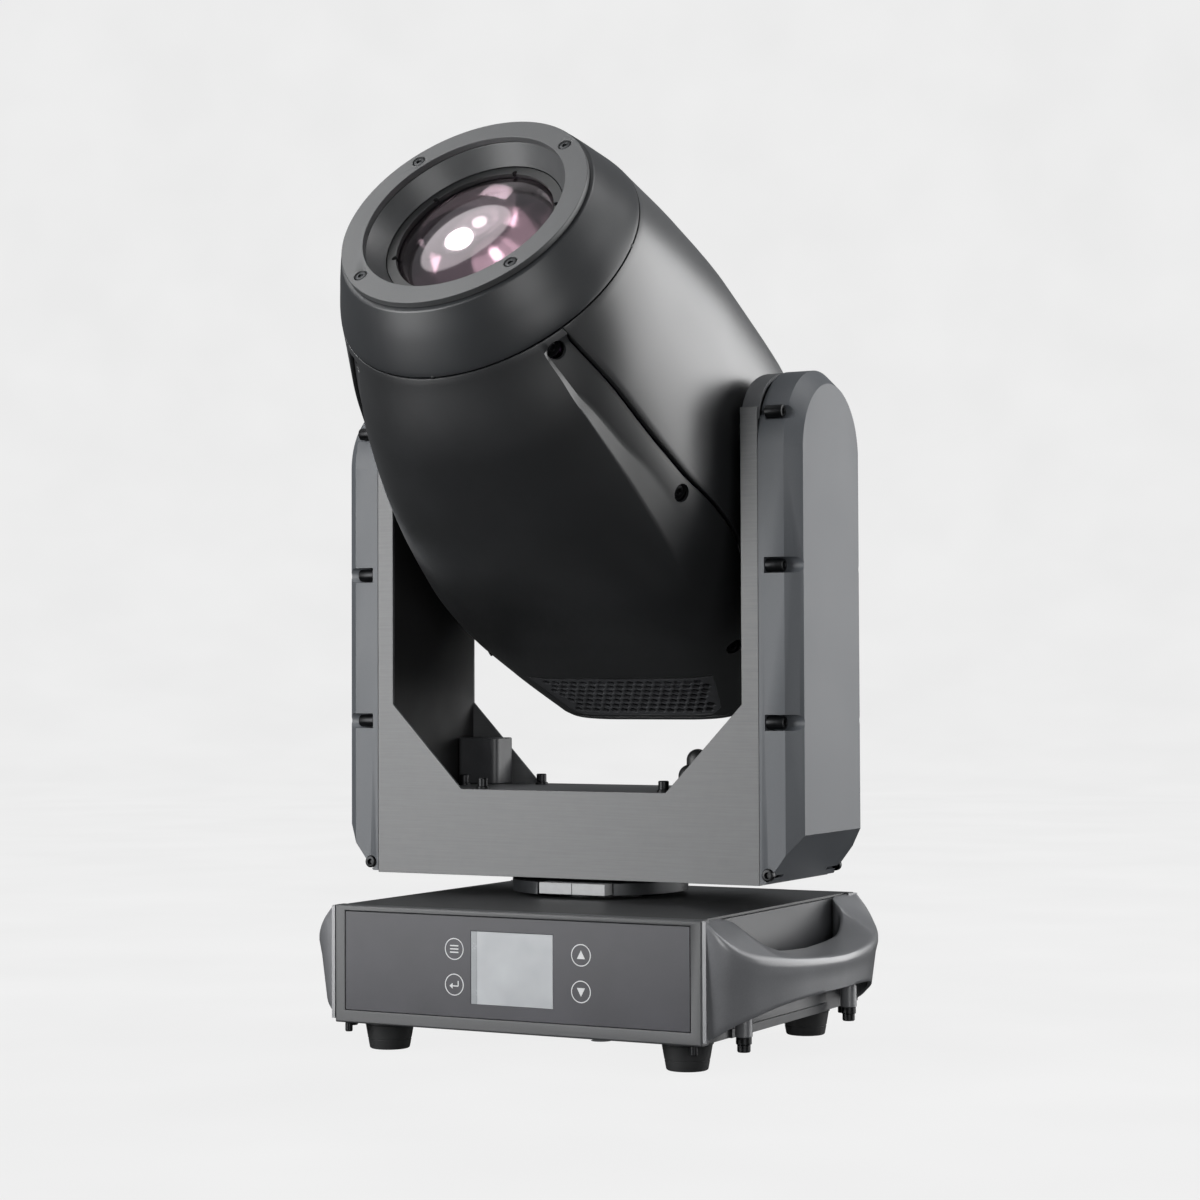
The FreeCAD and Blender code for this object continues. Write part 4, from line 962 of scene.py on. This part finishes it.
stageLook = dict(
    floorSize=16.0, coveRadius=2.5, paperGlow=0.965,
    glowColours=("#eeeeee", "#f1f1f1"), paperColours=("#202020", "#232323"),
    roomLow="#424344", roomHigh="#a0a2a5", worldStrength=0.6, roundSoftboxes=("overSoftbox", "lensSoftbox"),
    # softbox: place, aim, width and height in m, power in W
    softboxes={
        "frontSoftbox": ((-1.6, -2.4, 0.8), (0, 0, 0.4), (1.9, 2.2), 104),
        "sideSoftbox": ((2.15, 1.85, 0.85), (0.1, 0, 0.45), (3.2, 2.4), 84),
        "overSoftbox": ((-1.05, -0.6, 2.5), (0, 0, 0.7), (1.6, 1.6), 9),
        "lensSoftbox": ((-1.12, -0.72, 2.5), (0, 0, 0.7), (0.75, 0.45), 8),
        "topSoftbox": ((1.2, 0.5, 2.5), (0, 0, 0.6), (1.2, 1.0), 17),
        "fillSoftbox": ((2.5, -2.7, 0.45), (0, 0, 0.4), (1.9, 1.3), 44),
    })


def buildStage():
    # round sweep: flat floor, a soft cove and a wall all the way round
    build = bmesh.new()
    low, reach, cove = cadBounds[0].z, stageLook["floorSize"] / 2, stageLook["coveRadius"]
    profile = [(0.01, 0.0), (1.0, 0.0), (reach - cove, 0.0)]
    turns = [math.radians(a) for a in range(10, 91, 10)]
    profile += [(reach - cove + cove * math.sin(a), cove - cove * math.cos(a)) for a in turns]
    profile.append((reach, reach))
    addTurned(build, profile, (0, 0, low), segments=96, capEnd=False)
    mesh = bpy.data.meshes.new("studioFloor")
    build.to_mesh(mesh)
    build.free()
    for face in mesh.polygons:
        face.use_smooth = True
    floor = bpy.data.objects.new("studioFloor", mesh)
    bpy.context.scene.collection.objects.link(floor)
    material, tree, output = newMaterial("palePaperSweep")  # matt paper roll, almost white
    coords = addNode(tree, "ShaderNodeTexCoord").outputs["Object"]
    noise = addNode(tree, "ShaderNodeTexNoise", values={"Scale": 3.0, "Detail": 2.0},
                    links={"Vector": coords})
    glow, paper = (addNode(tree, "ShaderNodeValToRGB", links={"Fac": noise.outputs["Fac"]},
            stops=tuple(zip((0.3, 0.7), stageLook[key]))) for key in ("glowColours", "paperColours"))
    shader = addNode(tree, "ShaderNodeBsdfPrincipled",
            values={"Roughness": 0.9, "Specular IOR Level": 0.1, "Emission Strength": stageLook["paperGlow"]},
            links={"Base Color": paper.outputs["Color"], "Emission Color": glow.outputs["Color"]})
    tree.links.new(shader.outputs["BSDF"], output.inputs["Surface"])
    mesh.materials.append(material)
    # the paper is lit for the camera only, so it doesn't wash out the dark underside
    floor.visible_glossy = False
    floor.visible_diffuse = False


def addSoftbox(name, place, aim, size, power):
    light = bpy.data.lights.new(name, "AREA")
    light.shape = "ELLIPSE" if name in stageLook["roundSoftboxes"] else "RECTANGLE"
    light.size, light.size_y = size
    light.energy = power
    holder = bpy.data.objects.new(name, light)
    holder.location = place
    holder.rotation_euler = (Vector(aim) - Vector(place)).to_track_quat("-Z", "Y").to_euler()
    bpy.context.scene.collection.objects.link(holder)


def buildLights():
    world = bpy.data.worlds.new("studioWorld")
    world.use_nodes = True
    tree = world.node_tree
    # the room: dim below the table line, soft grey above it
    coords = addNode(tree, "ShaderNodeTexCoord").outputs["Generated"]
    height = addNode(tree, "ShaderNodeSeparateXYZ", links={"Vector": coords}).outputs["Z"]
    lift = addNode(tree, "ShaderNodeMapRange", values={"From Min": -0.25, "From Max": 0.5},
                   links={"Value": height})
    sky = addNode(tree, "ShaderNodeValToRGB", links={"Fac": lift.outputs["Result"]},
            stops=((0.0, stageLook["roomLow"]), (1.0, stageLook["roomHigh"])))
    tree.links.new(sky.outputs["Color"], tree.nodes["Background"].inputs["Color"])
    tree.nodes["Background"].inputs["Strength"].default_value = stageLook["worldStrength"]
    bpy.context.scene.world = world
    for name, (place, aim, size, power) in stageLook["softboxes"].items():
        addSoftbox(name, place, aim, size, power)


# place in m, turns in degrees, lens and film width in mm
cameraLook = dict(place=(1.1992, -2.2421, 0.3500), yaw=28.13, pitch=1.709, roll=-0.22, lens=78.56, film=36.0)


def buildCamera():
    data = bpy.data.cameras.new("viewCamera")
    data.lens = cameraLook["lens"]
    data.sensor_width = cameraLook["film"]
    data.clip_end = 60.0
    camera = bpy.data.objects.new("viewCamera", data)
    yaw, pitch, roll = (math.radians(cameraLook[k]) for k in ("yaw", "pitch", "roll"))
    tip = Matrix.Rotation(math.pi / 2 + pitch, 3, "X")
    turn = Matrix.Rotation(yaw, 3, "Z") @ tip @ Matrix.Rotation(roll, 3, "Z")
    camera.rotation_euler = turn.to_euler()
    camera.location = cameraLook["place"]
    bpy.context.scene.collection.objects.link(camera)
    bpy.context.scene.camera = camera


buildStage()
buildLights()
buildCamera()
bpy.context.scene.view_settings.view_transform = "Standard"  # plain tones, no film curve
print("stage, lights and camera ready")
